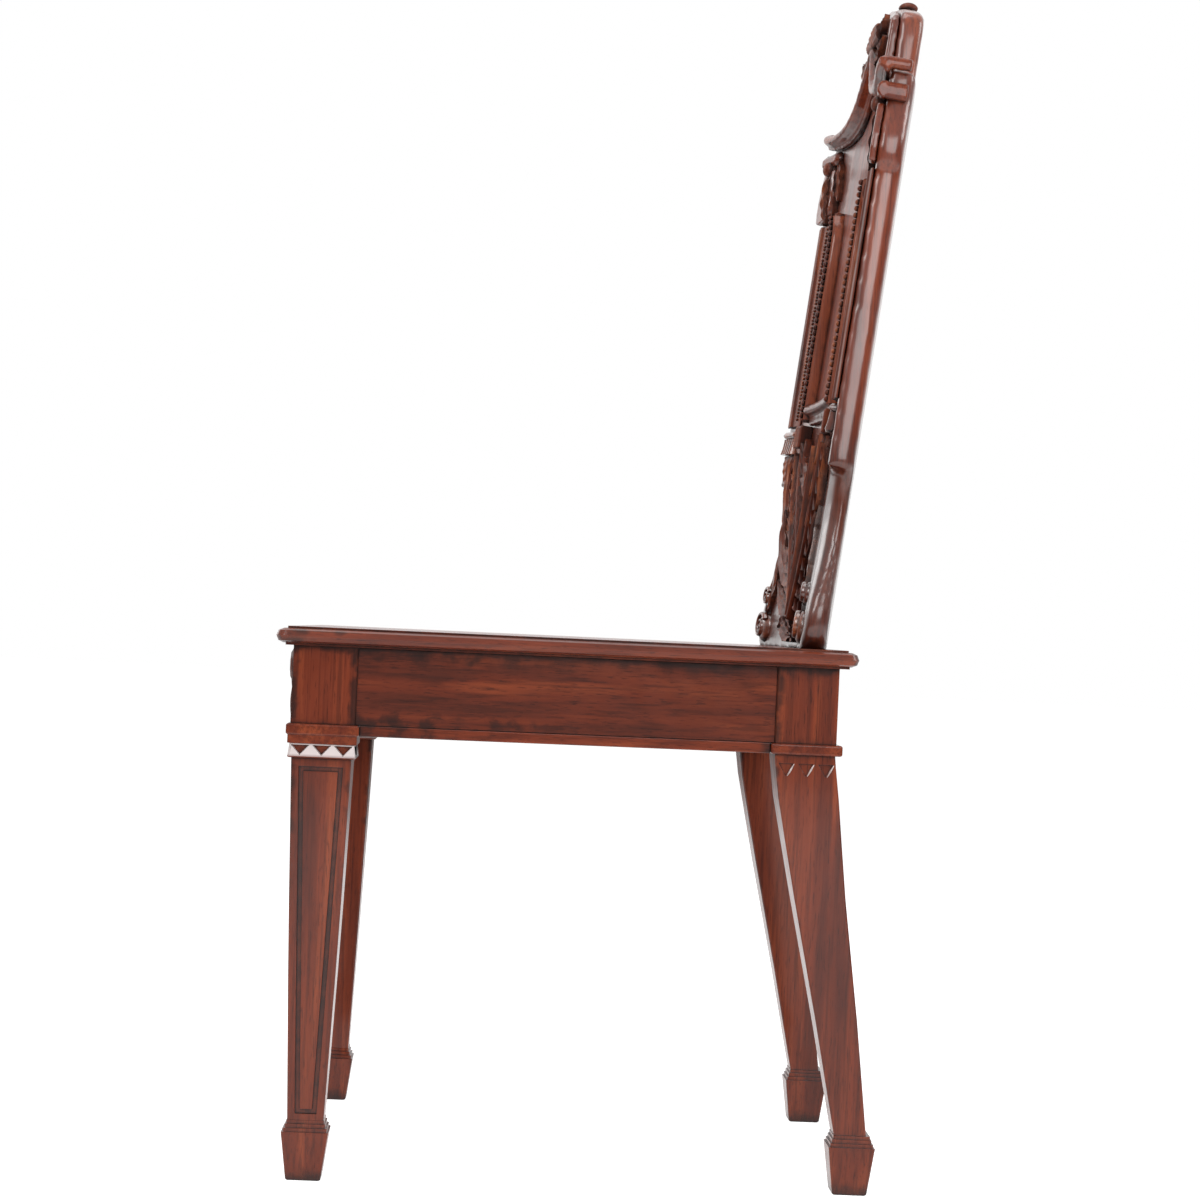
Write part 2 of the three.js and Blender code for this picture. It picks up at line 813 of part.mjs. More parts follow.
function backScrew(side, room) {
  const x = backTenonMiddle + side * backScrewSpread;
  return screw(backScrewLength, room)
    .rotateX(-Math.PI / 2)
    .translate(x, rearRailInnerY, backScrewRise);
}

function backScrewHoles() {
  const holes = [backScrew(-1, clearance), backScrew(1, clearance)];
  return [...holes, ...holes.map(mirrored)];
}

// Carving tools for the back. A place is given as shares of half the width and of the height.

const leafSection = [
  [-0.5, 0],
  [0.5, 0],
  [0.26, 0.94],
  [0, 0.72],
  [-0.24, 1],
];
const roundSection = [
  [-0.5, 0],
  [0.5, 0],
  [0.44, 0.56],
  [0.18, 0.96],
  [-0.18, 0.96],
  [-0.44, 0.56],
];

const leafletSection = [
  [-0.5, 0],
  [0.5, 0],
  [0.14, 1],
  [-0.16, 0.9],
];
const corniceSection = [
  [-0.62, 0],
  [0.38, 0],
  [0.38, 0.36],
  [0.14, 0.42],
  [0.1, 0.62],
  [-0.03, 0.9],
  [-0.24, 1],
  [-0.45, 0.9],
  [-0.6, 0.62],
];
const frameSection = [
  [-0.5, 0],
  [0.5, 0],
  [0.5, 0.25],
  [0.36, 0.55],
  [0.12, 0.6],
  [0.06, 1],
  [-0.06, 1],
  [-0.12, 0.6],
  [-0.36, 0.55],
  [-0.5, 0.25],
];
const channelSection = [
  [-0.5, 0],
  [0.5, 0],
  [0.5, 0.78],
  [0.4, 1],
  [0.3, 0.78],
  [0.22, 0.62],
  [-0.22, 0.62],
  [-0.3, 0.78],
  [-0.4, 1],
  [-0.5, 0.78],
];
const sillSection = [
  [-0.5, 0],
  [0.5, 0],
  [0.5, 0.55],
  [0.42, 0.88],
  [0.24, 1],
  [0.06, 0.88],
  [-0.03, 0.5],
  [-0.18, 0.42],
  [-0.5, 0.37],
];

function place([across, up]) {
  return new THREE.Vector2(across * backHalfWidth, up * backHeight);
}

function smoothPath(shares, steps) {
  return new THREE.SplineCurve(shares.map(place)).getSpacedPoints(steps);
}

// A moulding run along a path on the face of the board. Its section is in shares of the width and
// height that sizeAt gives for each share of the way.
function runMoulding(path, section, base, sizeAt) {
  const rings = path.map((point, i) => {
    const before = i > 0 ? leftNormal(path[i - 1], point) : null;
    const after = i + 1 < path.length ? leftNormal(point, path[i + 1]) : before;
    const normal = (before ?? after).clone().add(after).normalize();
    const mitre = 1 / Math.max(normal.dot(after), 1 / 2);
    const [width, height] = sizeAt(i / (path.length - 1));
    return section.map(([beside, out]) => {
      const foot = point.clone().addScaledVector(normal, beside * width * mitre);
      return new THREE.Vector3(foot.x, foot.y, base + out * height);
    });
  });
  return loft(rings);
}

// A tapering leaf, widest at a share of its length.
function leaf(path, base, width, height) {
  return runMoulding(path, leafSection, base, (share) => {
    const swell = Math.sin(Math.PI * (0.12 + 0.82 * share ** 0.8));
    return [width * Math.max(swell, 1 / 8), height * (0.55 + 0.45 * swell)];
  });
}

// Lines scored up a piece at even steps across it, so that it can take up the dish of the back.
function scored(geometry, lines) {
  const near = 1e-3;
  const { position } = geometry.attributes;
  const points = [];
  for (let i = 0; i < position.count; i += 1) {
    points.push(new THREE.Vector3().fromBufferAttribute(position, i));
  }
  const made = new Map();
  const crossings = (a, b) => {
    const [low, high] = [Math.min(a, b), Math.max(a, b)];
    const key = `${low} ${high}`;
    if (!made.has(key)) {
      const [from, to] = [points[low], points[high]];
      const [start, end] = [Math.min(from.x, to.x) + near, Math.max(from.x, to.x) - near];
      const crossed = lines.filter((line) => line > start && line < end);
      const found = crossed.map((line) => {
        const share = (line - from.x) / (to.x - from.x);
        return points.push(from.clone().lerp(to, share).setX(line)) - 1;
      });
      made.set(key, to.x < from.x ? found.reverse() : found);
    }
    const found = made.get(key);
    return a < b ? found : [...found].reverse();
  };
  const faces = [];
  const index = geometry.index.array;
  for (let i = 0; i < index.length; i += 3) {
    const corners = [index[i], index[i + 1], index[i + 2]];
    const loop = corners.flatMap((corner, k) => [corner, ...crossings(corner, corners[(k + 1) % 3])]);
    const places = corners.map((corner) => points[corner].x);
    const [start, end] = [Math.min(...places) + near, Math.max(...places) - near];
    const inside = lines.filter((line) => line > start && line < end);
    const limits = [-Infinity, ...inside, Infinity];
    for (let k = 0; k + 1 < limits.length; k += 1) {
      const strip = loop.filter((point) => {
        return points[point].x >= limits[k] - near && points[point].x <= limits[k + 1] + near;
      });
      for (let j = 1; j + 1 < strip.length; j += 1) faces.push(strip[0], strip[j], strip[j + 1]);
    }
  }
  const result = new THREE.BufferGeometry().setFromPoints(points);
  result.setIndex(new THREE.BufferAttribute(Uint32Array.from(faces), 1));
  return result;
}

// The middle of the back lies deeper than its sides, on an arc across the board.
function dished(geometry) {
  const lines = [];
  const count = Math.ceil(backHalfWidth / dishStep);
  for (let i = -count; i <= count; i += 1) lines.push(i * dishStep);
  const result = scored(toGeometry(toSolid(geometry)), lines);
  const { position } = result.attributes;
  for (let i = 0; i < position.count; i += 1) {
    const x = position.getX(i);
    position.setZ(i, position.getZ(i) - dishDepth + (x * x) / (2 * dishRadius));
  }
  return result;
}

// Outlines of the back, in shares of half its width and of its height, from the foot up

const boardSideShares = [
  [0.871, -0.012],
  [0.941, 0],
  [0.978, 0.011],
  [0.998, 0.029],
  [0.998, 0.049],
  [0.983, 0.075],
  [0.958, 0.105],
  [0.933, 0.137],
  [0.918, 0.173],
  [0.916, 0.206],
  [0.928, 0.234],
  [0.95, 0.2535],
  [0.975, 0.2557],
  [0.965, 0.49],
  [0.963, 0.686],
  [0.983, 0.689],
  [0.995, 0.712],
  [0.993, 0.732],
  [0.975, 0.758],
  [0.957, 0.776],
  [0.95, 0.7815],
  [0.95, 0.828],
  [0.842, 0.827],
  [0.668, 0.824],
  [0.495, 0.827],
  [0.426, 0.833],
  [0.395, 0.846],
  [0.386, 0.862],
  [0.386, 0.925],
  [0.379, 0.946],
  [0.351, 0.958],
  [0.248, 0.969],
  [0.139, 0.979],
  [0, 0.988],
];
const cornicePathShares = [
  [0.985, 0.828],
  [0.916, 0.8235],
  [0.842, 0.8195],
  [0.743, 0.8172],
  [0.668, 0.8163],
  [0.569, 0.817],
  [0.485, 0.8195],
  [0.406, 0.8232],
  [0.337, 0.8284],
  [0.277, 0.836],
  [0.218, 0.8464],
  [0.178, 0.857],
  [0.139, 0.8677],
  [0.099, 0.88],
  [0.059, 0.892],
  [0.025, 0.903],
  [-0.01, 0.912],
];
const panelSideShares = [
  [0.458, 0.386],
  [0.455, 0.564],
  [0.456, 0.629],
  [0.47, 0.667],
  [0.497, 0.7],
  [0.5, 0.735],
  [0.5, 0.785],
  [0.47, 0.8025],
  [0.337, 0.8105],
  [0.218, 0.828],
  [0.139, 0.85],
  [0.059, 0.874],
  [0, 0.888],
];
const beadPathShares = [
  [0.495, 0.3555],
  [0.495, 0.425],
  [0.495, 0.49],
  [0.491, 0.564],
  [0.491, 0.629],
  [0.507, 0.664],
  [0.549, 0.688],
];
const crestTopShares = [
  [0.376, 0.852],
  [0.376, 0.924],
  [0.368, 0.942],
  [0.343, 0.952],
  [0.248, 0.963],
  [0.139, 0.9735],
  [0, 0.983],
];
const crestUnderShares = [
  [0, 0.92],
  [0.045, 0.9105],
  [0.085, 0.8975],
  [0.16, 0.8745],
  [0.235, 0.8545],
  [0.295, 0.8437],
  [0.34, 0.8392],
];
const bracketShares = [
  [0.782, 0.7],
  [0.93, 0.69],
  [0.972, 0.693],
  [0.983, 0.712],
  [0.981, 0.732],
  [0.963, 0.757],
  [0.943, 0.777],
  [0.79, 0.777],
  [0.754, 0.757],
  [0.754, 0.72],
];
const frameMouldingShares = [
  [0.848, 0.354],
  [0.848, 0.684],
];
const earLeafShares = [
  [[[0.8, 0.764], [0.86, 0.76], [0.9, 0.742], [0.87, 0.72], [0.9, 0.7]], 1, 1],
  [[[0.8, 0.755], [0.84, 0.735], [0.81, 0.715]], 0.8, 0.95],
  [[[0.86, 0.745], [0.93, 0.745], [0.955, 0.72]], 0.8, 0.9],
  [[[0.8, 0.765], [0.74, 0.745], [0.7, 0.72], [0.63, 0.714]], 0.8, 0.95],
  [[[0.79, 0.758], [0.69, 0.754], [0.6, 0.742]], 0.8, 0.95],
  [[[0.8, 0.766], [0.7, 0.772], [0.62, 0.768]], 0.7, 0.95],
];
const earBossShares = [0.815, 0.757];
const earBossShare = 0.7;
const pilasterShares = [
  [0, 1, 1],
  [0.86, 1, 1],
  [1, 0.9, 0.6],
];
const consoleShares = [
  [0, 0.86, 0.5],
  [0.08, 1, 1],
  [0.3, 0.8, 1],
  [0.52, 0.55, 0.2],
  [0.64, 0.55, 0],
  [0.68, 0.9, 0],
  [0.82, 1, 0],
  [1, 0.82, 0],
];
const consoleOuterShare = 0.28;
const dropShares = [
  [0, 0.34, 0.6],
  [0.08, 0.42, 1],
  [0.6, 0.8, 1],
  [1, 1, 1],
];
const palmStemShares = [
  [0.06, 0.05],
  [0.17, 0.1],
  [0.33, 0.17],
  [0.45, 0.235],
  [0.52, 0.29],
];
const centreStemShares = [
  [0, 0.045],
  [0, 0.16],
  [0, 0.31],
];
const footBandShares = [
  [0.755, 0.245],
  [0.71, 0.215],
  [0.695, 0.175],
  [0.715, 0.13],
  [0.765, 0.09],
  [0.83, 0.067],
];
const voluteEyeShares = [0.85, 0.042];
const voluteCloseShare = 0.62;
const shellRootShares = [0, 0.925];
const shellEdgeShare = 0.06;
const shellRiseShare = 0.6;

function farSide(sideShares) {
  const off = sideShares.filter(([across]) => across > 0);
  return off.map(([across, up]) => place([-across, up])).reverse();
}

function wholeOutline(sideShares) {
  return [...sideShares.map(place), ...farSide(sideShares)];
}

function edgeAt(up) {
  const side = boardSideShares.map(place);
  const i = side.findIndex((point, k) => k > 0 && point.y >= up);
  const [low, high] = [side[i - 1], side[i]];
  return low.x + ((high.x - low.x) * (up - low.y)) / (high.y - low.y);
}

// Below the ledge the front of the board rolls away to a thin edge. Stations up the board: height,
// how thick the edge is left, and how far in from it the roll begins.
const waistStationShares = [
  [-0.02, 0.739, 0.089],
  [0.01, 0.739, 0.099],
  [0.0229, 0.704, 0.124],
  [0.049, 0.652, 0.126],
  [0.0735, 0.539, 0.134],
  [0.098, 0.4, 0.158],
  [0.1225, 0.304, 0.183],
  [0.147, 0.261, 0.203],
  [0.18, 0.256, 0.213],
  [0.2124, 0.256, 0.215],
  [0.237, 0.278, 0.218],
  [0.2557, 0.335, 0.213],
];

function waistTool() {
  const rollSteps = 3;
  const top = waistStationShares.at(-2)[0] * backHeight;
  const rings = waistStationShares.map(([upShare, edgeShare, rollShare]) => {
    const up = upShare * backHeight;
    const edge = edgeShare * boardThickness;
    const roll = rollShare * backHalfWidth;
    const outer = edgeAt(Math.min(Math.max(up, 0), top));
    const ring = [];
    for (let i = 0; i <= rollSteps; i += 1) {
      const angle = (i / rollSteps) * (Math.PI / 2);
      const x = outer - roll + roll * Math.sin(angle);
      const z = edge + (boardThickness - edge) * Math.cos(angle);
      ring.push(new THREE.Vector3(x, up, z));
    }
    ring.push(new THREE.Vector3(outer + waistReach, up, edge));
    ring.push(new THREE.Vector3(outer + waistReach, up, boardThickness * 2));
    ring.push(new THREE.Vector3(outer - roll, up, boardThickness * 2));
    return ring;
  });
  return loft(rings);
}

// The top of the crest rolls over to the rear, following the arch of its edge.
const crestRollShares = [
  [0.936, 1.4],
  [0.9465, 1.28],
  [0.9545, 1.1],
  [0.9595, 0.9],
  [0.963, 0.55],
  [1.05, 0.55],
  [1.05, 2.5],
  [0.936, 2.5],
];

function crestRollTool() {
  const stations = [-0.42, -0.35, -0.248, -0.139, 0, 0.139, 0.248, 0.35, 0.42];
  const archRise = 0.029;
  const rings = stations.map((across) => {
    const lift = archRise * Math.max(1 - Math.abs(across) / 0.36, 0);
    return crestRollShares.map(([up, out]) => {
      const spot = place([across, up + lift]);
      return new THREE.Vector3(spot.x, spot.y, out * boardThickness);
    });
  });
  return loft(rings);
}

function makeFlatBoard() {
  const outline = wholeOutline(boardSideShares);
  const board = loft([
    flatRing(insetOutline(outline, boardRearBevel), 0),
    flatRing(outline, boardRearBevelRise),
    flatRing(outline, boardThickness - boardFrontBevel),
    flatRing(insetOutline(outline, boardFrontBevel), boardThickness),
  ]);
  const recess = extrude(wholeOutline(panelSideShares), boardThickness);
  recess.translate(0, 0, boardThickness - panelRecess);
  const waist = waistTool();
  return cut(board, waist, mirrored(waist), crestRollTool(), recess);
}

const board = makeFlatBoard();
function makeShieldPanel() {
  const outline = insetOutline(wholeOutline(panelSideShares), clearance);
  return extrude(outline, panelThickness).translate(0, 0, boardThickness - panelRecess + clearance);
}

// Carved work. Every piece lies on the flat front of the board before the whole back is dished.

const face = boardThickness + clearance;

// A block that returns a moulding along the edge of the ear.
function returnBlock(up, halfHeight, rear) {
  const inner = edgeAt(earRollUp) + clearance;
  const outer = inner + returnProjection;
  const round = Math.min(halfHeight, returnProjection) / 2;
  const outline = [
    new THREE.Vector2(inner, up - halfHeight),
    new THREE.Vector2(outer - round, up - halfHeight),
    new THREE.Vector2(outer, up - halfHeight + round),
    new THREE.Vector2(outer, up + halfHeight - round),
    new THREE.Vector2(outer - round, up + halfHeight),
    new THREE.Vector2(inner, up + halfHeight),
  ];
  return extrude(outline, face + returnLap - rear).translate(0, 0, rear);
}

function makeCornice() {
  const path = cornicePathShares.map(place);
  const run = runMoulding(path, corniceSection, face, (share) => {
    const gain = Math.sqrt(Math.min(share * 2, 1));
    return [corniceHeight, corniceEarFront + (corniceFront - corniceEarFront) * gain];
  });
  const rise = path[0].y + corniceHeight / 4;
  const ends = returnBlock(rise, corniceHeight * 0.36, returnRear);
  const far = box(-backHalfWidth, clearance / 2, 0, backHeight * 2, 0, boardThickness * 4);
  return cut(join(run, ends), far);
}

function makeEarRoll() {
  const outer = edgeAt(earRollUp) + clearance + returnProjection;
  const path = [new THREE.Vector2(earRollInner, earRollUp), new THREE.Vector2(outer, earRollUp)];
  const size = [earRollHalfHeight * 2, earRollFront];
  const run = runMoulding(path, roundSection, face, () => size);
  const ball = new THREE.SphereGeometry(earRollHalfHeight, 12, 8);
  ball.scale(1, 1, earRollFront / earRollHalfHeight).translate(earRollInner, earRollUp, face);
  const behind = box(0, backHalfWidth, 0, backHeight, 0, face);
  const ends = returnBlock(earRollUp, earRollHalfHeight, returnRear);
  return join(cut(ball, behind), run, ends);
}

function makeEarBracket() {
  const outline = bracketShares.map(place);
  return loft([
    flatRing(outline, face),
    flatRing(outline, face + bracketThickness - bracketBevel),
    flatRing(insetOutline(outline, bracketBevel), face + bracketThickness),
  ]);
}

function makeEarLeaf(bracket) {
  const leaves = earLeafShares.map(([pathShares, widthShare, heightShare]) =>
    leaf(smoothPath(pathShares, 4), face, earLeafWidth * widthShare, earLeafFront * heightShare),
  );
  const boss = new THREE.SphereGeometry(earLeafFront, 10, 8);
  const spot = place(earBossShares);
  boss.scale(earBossShare, earBossShare, 1).translate(spot.x, spot.y, face);
  const behind = box(0, backHalfWidth, 0, backHeight, 0, face);
  return clearOf(join(cut(boss, behind), ...leaves), bracket);
}

function makeFrameMoulding() {
  const path = frameMouldingShares.map(place);
  return runMoulding(path, frameSection, face, () => [frameMouldingWidth, frameMouldingFront]);
}

function makeBeadBorder() {
  const path = beadPathShares.map(place);
  return runMoulding(path, channelSection, face, () => [beadBorderWidth, beadBorderFront]);
}

function makeSill() {
  const half = place(beadPathShares[0]).x - beadBorderWidth / 2 - clearance;
  const path = [new THREE.Vector2(-half, sillUp), new THREE.Vector2(half, sillUp)];
  return runMoulding(path, sillSection, face, () => [sillHeight, sillFront]);
}

// A block that stands out from the board, its front cut into reeds or flutes that run up it. The
// stations give, from the foot up, the height, how far it stands out and how deep the cuts are.
function reededBlock(inner, outer, stations, cuts, cutDepth, outerShare) {
  const steps = cuts * 3;
  return loft(
    stations.map(([up, out, deep]) => {
      const ring = [];
      for (let i = 0; i <= steps; i += 1) {
        const share = i / steps;
        const wave = Math.abs(Math.sin(share * cuts * Math.PI));
        const reach = out * (1 + (outerShare - 1) * share);
        const z = face + Math.max(reach - cutDepth * deep * (1 - wave), clearance);
        ring.push(new THREE.Vector3(inner + (outer - inner) * share, up, z));
      }
      const rear = ring.map((point) => new THREE.Vector3(point.x, up, face));
      return [...ring, ...rear.reverse()];
    }),
    true,
  );
}

function stationsOf(shares, bottom, top, out) {
  return shares.map(([up, reach, deep]) => [bottom + (top - bottom) * up, out * reach, deep]);
}

function makePilaster() {
  const inner = place(beadPathShares[0]).x - beadBorderWidth / 2;
  const stations = stationsOf(pilasterShares, pilasterBottom, pilasterTop, pilasterFront);
  return reededBlock(inner, inner + pilasterWidth, stations, reedCount, reedDepth, 1);
}

function makeConsole() {
  const stations = stationsOf(consoleShares, consoleBottom, consoleTop, consoleFront);
  return reededBlock(consoleInner, consoleOuter, stations, fluteCount, fluteDepth, consoleOuterShare);
}

function makeDrop() {
  const stations = stationsOf(dropShares, dropBottom, consoleBottom - clearance, dropFront);
  const outer = consoleOuter - dropSetIn;
  return reededBlock(consoleInner, outer, stations, dropScallops, dropScallop, consoleOuterShare);
}

// A palm branch: a curved stem with pairs of pointed leaflets that shorten towards the tip.
function makePalm() {
  const spine = new THREE.SplineCurve(palmStemShares.map(place));
  const stem = runMoulding(spine.getSpacedPoints(6), roundSection, face, (share) => {
    const swell = 1 - share / 2;
    return [palmStemWidth * swell, palmFront * (0.75 + share / 5)];
  });
  const leaflets = [];
  for (let i = 0; i < leafletPairs; i += 1) {
    const share = 0.14 + (0.8 * i) / leafletPairs;
    const root = spine.getPointAt(share);
    const along = spine.getTangentAt(share);
    const length = leafletLength * (1 - share / 3);
    for (const side of [-1, 1]) {
      const reach = side > 0 ? length : length * 0.72;
      const out = along.clone().rotateAround(new THREE.Vector2(), side * leafletAngle);
      const bend = along.clone().rotateAround(new THREE.Vector2(), (side * leafletAngle) / 2);
      const middle = root.clone().addScaledVector(out, reach / 2);
      const tip = middle.clone().addScaledVector(bend, reach / 2);
      const path = new THREE.SplineCurve([root, middle, tip]).getSpacedPoints(3);
      leaflets.push(
        runMoulding(path, leafletSection, face, (part) => {
          const swell = Math.sin(Math.PI * (0.3 + 0.66 * part));
          return [leafletWidth * swell, leafletHeight * (0.5 + 0.5 * swell)];
        }),
      );
    }
  }
  return join(stem, ...leaflets);
}

function makeCentreStem() {
  const path = smoothPath(centreStemShares, 7);
  return runMoulding(path, roundSection, face, (share) => {
    const wave = Math.abs(Math.sin(share * Math.PI * 2.5));
    return [centreStemWidth * (0.55 + 0.45 * wave), centreStemFront * (0.7 + 0.3 * wave)];
  });
}

// The band down the edge of the foot, ending in a volute with a raised eye.
function makeFootScroll() {
  const band = smoothPath(footBandShares, 7);
  const eye = place(voluteEyeShares);
  const start = band.at(-1).clone().sub(eye);
  const spiral = [];
  const turns = 9;
  for (let i = 1; i <= turns; i += 1) {
    const closer = 1 - (i / turns) * voluteCloseShare;
    spiral.push(start.clone().rotateAround(new THREE.Vector2(), (-i / turns) * Math.PI * 1.6));
    spiral.at(-1).multiplyScalar(closer).add(eye);
  }
  const low = boardThickness - scrollSink;
  const run = runMoulding([...band, ...spiral], roundSection, low, (share) => {
    return [scrollWidth * (1 - share / 3), scrollSink + scrollFront * (0.7 + share * 0.3)];
  });
  const ball = new THREE.SphereGeometry(voluteEye, 10, 6);
  ball.scale(1, 1, (scrollSink + scrollFront) / voluteEye).translate(eye.x, eye.y, low);
  const behind = box(0, backHalfWidth, -backHeight, backHeight, -boardThickness * 2, low);
  return clearOf(join(run, cut(ball, behind)), board);
}

// The crest is thickened by a layer above the cornice, under a carved shell.
function makeCrestRail(cornice) {
  const outline = [
    ...crestTopShares.map(place),
    ...farSide(crestTopShares),
    ...farSide(crestUnderShares),
    ...crestUnderShares.map(place),
  ];
  const front = face + crestLayer;
  const layer = loft([
    flatRing(outline, face),
    flatRing(outline, front - crestLayerBevel),
    flatRing(insetOutline(outline, crestLayerBevel), front),
  ]);
  return clearOf(cut(layer, crestRollTool()), cornice, mirrored(cornice));
}

function makeCrestShell(cornice) {
  const root = place(shellRootShares);
  const low = face + crestLayer + clearance;
  const ribs = [];
  for (let i = 0; i < shellRibs; i += 1) {
    const share = i / (shellRibs - 1);
    const angle = Math.PI * (shellEdgeShare + (1 - shellEdgeShare * 2) * share);
    const length = shellReach * (0.72 + 0.28 * Math.sin(Math.PI * share));
    const out = new THREE.Vector2(Math.cos(angle), Math.sin(angle) * shellRiseShare);
    const path = [0, 0.4, 0.75, 1].map((part) =>
      root.clone().addScaledVector(out, length * part),
    );
    ribs.push(
      runMoulding(path, roundSection, low, (part) => {
        return [shellRibWidth * (0.5 + 0.5 * part), shellFront * (1 - 0.75 * part * part)];
      }),
    );
  }
  const shell = join(...ribs);
  return clearOf(shell, cornice, mirrored(cornice));
}

function makeFinial() {
  const width = finialWidth;
  const top = backHeight + finialRise;
  const outline = [
    new THREE.Vector2(-width, backHeight - finialSeat),
    new THREE.Vector2(width, backHeight - finialSeat),
    new THREE.Vector2(width * 0.8, backHeight - finialSeat / 2),
    new THREE.Vector2(width / 4, top - finialRise / 4),
    new THREE.Vector2(0, top),
    new THREE.Vector2(-width / 4, top - finialRise / 4),
    new THREE.Vector2(-width * 0.8, backHeight - finialSeat / 2),
  ];
  const tip = extrude(outline, finialDepth).translate(0, 0, finialRear);
  return clearOf(tip, board);
}

// Assembly

const backMatrix = new THREE.Matrix4().makeRotationX(Math.PI / 2 - backRake);
backMatrix.setPosition(0, backRearY, seatHeight);
const intoBack = backMatrix.clone().invert();

// The body of the board, with its foot cut level to stand in a shallow housing in the seat.
function makeBoardBody() {
  const under = box(
    -backHalfWidth,
    backHalfWidth,
    backRearY - backHeight,
    backRearY + backHeight,
    seatHeight - backHeight,
    seatHeight - backHousingDepth + clearance,
  );
  return cut(dished(board), under.applyMatrix4(intoBack));
}

function makeBackBoard(boardBody) {
  const tenon = box(...backTenon);
  const tenons = [tenon, mirrored(tenon)].map((piece) => piece.applyMatrix4(intoBack));
  const holes = backScrewHoles().map((hole) => hole.applyMatrix4(intoBack));
  return cut(join(boardBody, ...tenons), ...holes);
}

const chair = new THREE.Group();
const back = new THREE.Group();
back.rotation.x = Math.PI / 2 - backRake;
back.position.set(0, backRearY, seatHeight);

function addPiece(parent, name, geometry, finish) {
  const flat = toGeometry(toSolid(geometry).simplify(flatness)).toNonIndexed();
  flat.computeVertexNormals();
  const material = new THREE.MeshStandardMaterial({
    color: finish.colour,
    roughness: finish.roughness,
    metalness: finish.metalness,
  });
  const mesh = new THREE.Mesh(flat, material);
  mesh.name = name;
  parent.add(mesh);
}

function addPair(parent, name, geometry, finish) {
  addPiece(parent, `left_${name}`, geometry, finish);
  addPiece(parent, `right_${name}`, mirrored(geometry), finish);
}

const frontMortises = [grown(...frontTenon), grown(...sideFrontTenon)];
const rearMortises = [grown(...rearTenon), grown(...sideRearTenon)];
const backMortise = grown(...backTenon);
const seatScrewHoles = ["front", "rear"].map((end) => seatScrew(end, clearance));

const seatHoles = [
  backMortise,
  mirrored(backMortise),
  ...seatScrewHoles,
  ...seatScrewHoles.map(mirrored),
];
const boardBody = makeBoardBody();
const boardFoot = boardBody.clone().applyMatrix4(backMatrix).translate(0, 0, -clearance);
addPiece(chair, "seat_board", clearOf(makeSeatBoard(seatHoles), boardFoot), wood);
addPair(chair, "front_leg", makeFrontLeg(frontMortises), wood);
addPair(chair, "rear_leg", makeRearLeg(rearMortises), wood);
addPair(chair, "front_collar", makeFrontCollar(), carvedWood);
addPair(chair, "rear_collar", makeRearCollar(), carvedWood);
addPair(chair, "rosette", makePatera(), carvedWood);

const frontRailInnerY = frontRailOuterY + railThickness;
const frontRail = makeCrossRail(frontPostInnerX, frontRailOuterY, frontRailInnerY, frontTenon, []);
const rearRailHoles = [backMortise, mirrored(backMortise), ...backScrewHoles()];
const rearRail = makeCrossRail(
  rearPostInnerX,
  rearRailInnerY,
  rearRailOuterY,
  rearTenon,
  rearRailHoles,
);
addPiece(chair, "front_rail", frontRail, wood);
addPiece(chair, "rear_rail", rearRail, wood);
addPair(chair, "side_rail", makeSideRail(), wood);
addPiece(chair, "front_rail_bead", makeCrossBead(frontPostInnerX, frontRailOuterY, -1), wood);
addPiece(chair, "rear_rail_bead", makeCrossBead(rearPostInnerX, rearRailOuterY, 1), wood);
addPair(chair, "side_rail_bead", makeSideBead(), wood);

for (const end of ["front", "rear"]) {
  const block = cut(blocks[end].body, seatScrew(end, clearance));
  addPair(chair, `${end}_corner_block`, block, blockWood);
  addPair(chair, `${end}_seat_screw`, seatScrew(end, 0), steel);
}
addPair(chair, "inner_back_screw", backScrew(-1, 0), steel);
addPair(chair, "outer_back_screw", backScrew(1, 0), steel);

const cornice = makeCornice();
const bracket = makeEarBracket();
addPiece(back, "back_board", makeBackBoard(boardBody), wood);
addPiece(back, "shield_panel", dished(makeShieldPanel()), panelWood);
addPiece(back, "crest_rail", dished(makeCrestRail(cornice)), wood);
addPiece(back, "crest_shell", dished(makeCrestShell(cornice)), carvedWood);
addPiece(back, "crest_finial", dished(makeFinial()), carvedWood);
addPiece(back, "sill_moulding", dished(makeSill()), wood);
addPiece(back, "centre_stem", dished(makeCentreStem()), carvedWood);
addPair(back, "cornice", dished(cornice), wood);
addPair(back, "ear_roll", dished(makeEarRoll()), wood);
addPair(back, "ear_bracket", dished(bracket), wood);
addPair(back, "ear_leaf", dished(makeEarLeaf(bracket)), carvedWood);
addPair(back, "frame_moulding", dished(makeFrameMoulding()), carvedWood);
addPair(back, "bead_border", dished(makeBeadBorder()), carvedWood);
addPair(back, "pilaster", dished(makePilaster()), carvedWood);
addPair(back, "console", dished(makeConsole()), carvedWood);
addPair(back, "drop", dished(makeDrop()), carvedWood);
addPair(back, "palm", dished(makePalm()), carvedWood);
addPair(back, "foot_scroll", dished(makeFootScroll()), carvedWood);
chair.add(back);

// The chair stands centred on its footprint.
chair.updateMatrixWorld(true);
const bounds = new THREE.Box3().setFromObject(chair, true);
const middle = bounds.getCenter(new THREE.Vector3());
chair.position.set(-middle.x, -middle.y, -bounds.min.z);

export default chair;
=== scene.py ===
"""A shield back hall chair in polished mahogany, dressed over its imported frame.

Lengths are in metres. The sitter faces -Y, and the sitter's left is +X.
"""
import logging
import math
from dataclasses import dataclass, field, replace
from enum import Enum
from typing import Callable, Sequence

import bpy
from mathutils import Matrix, Vector


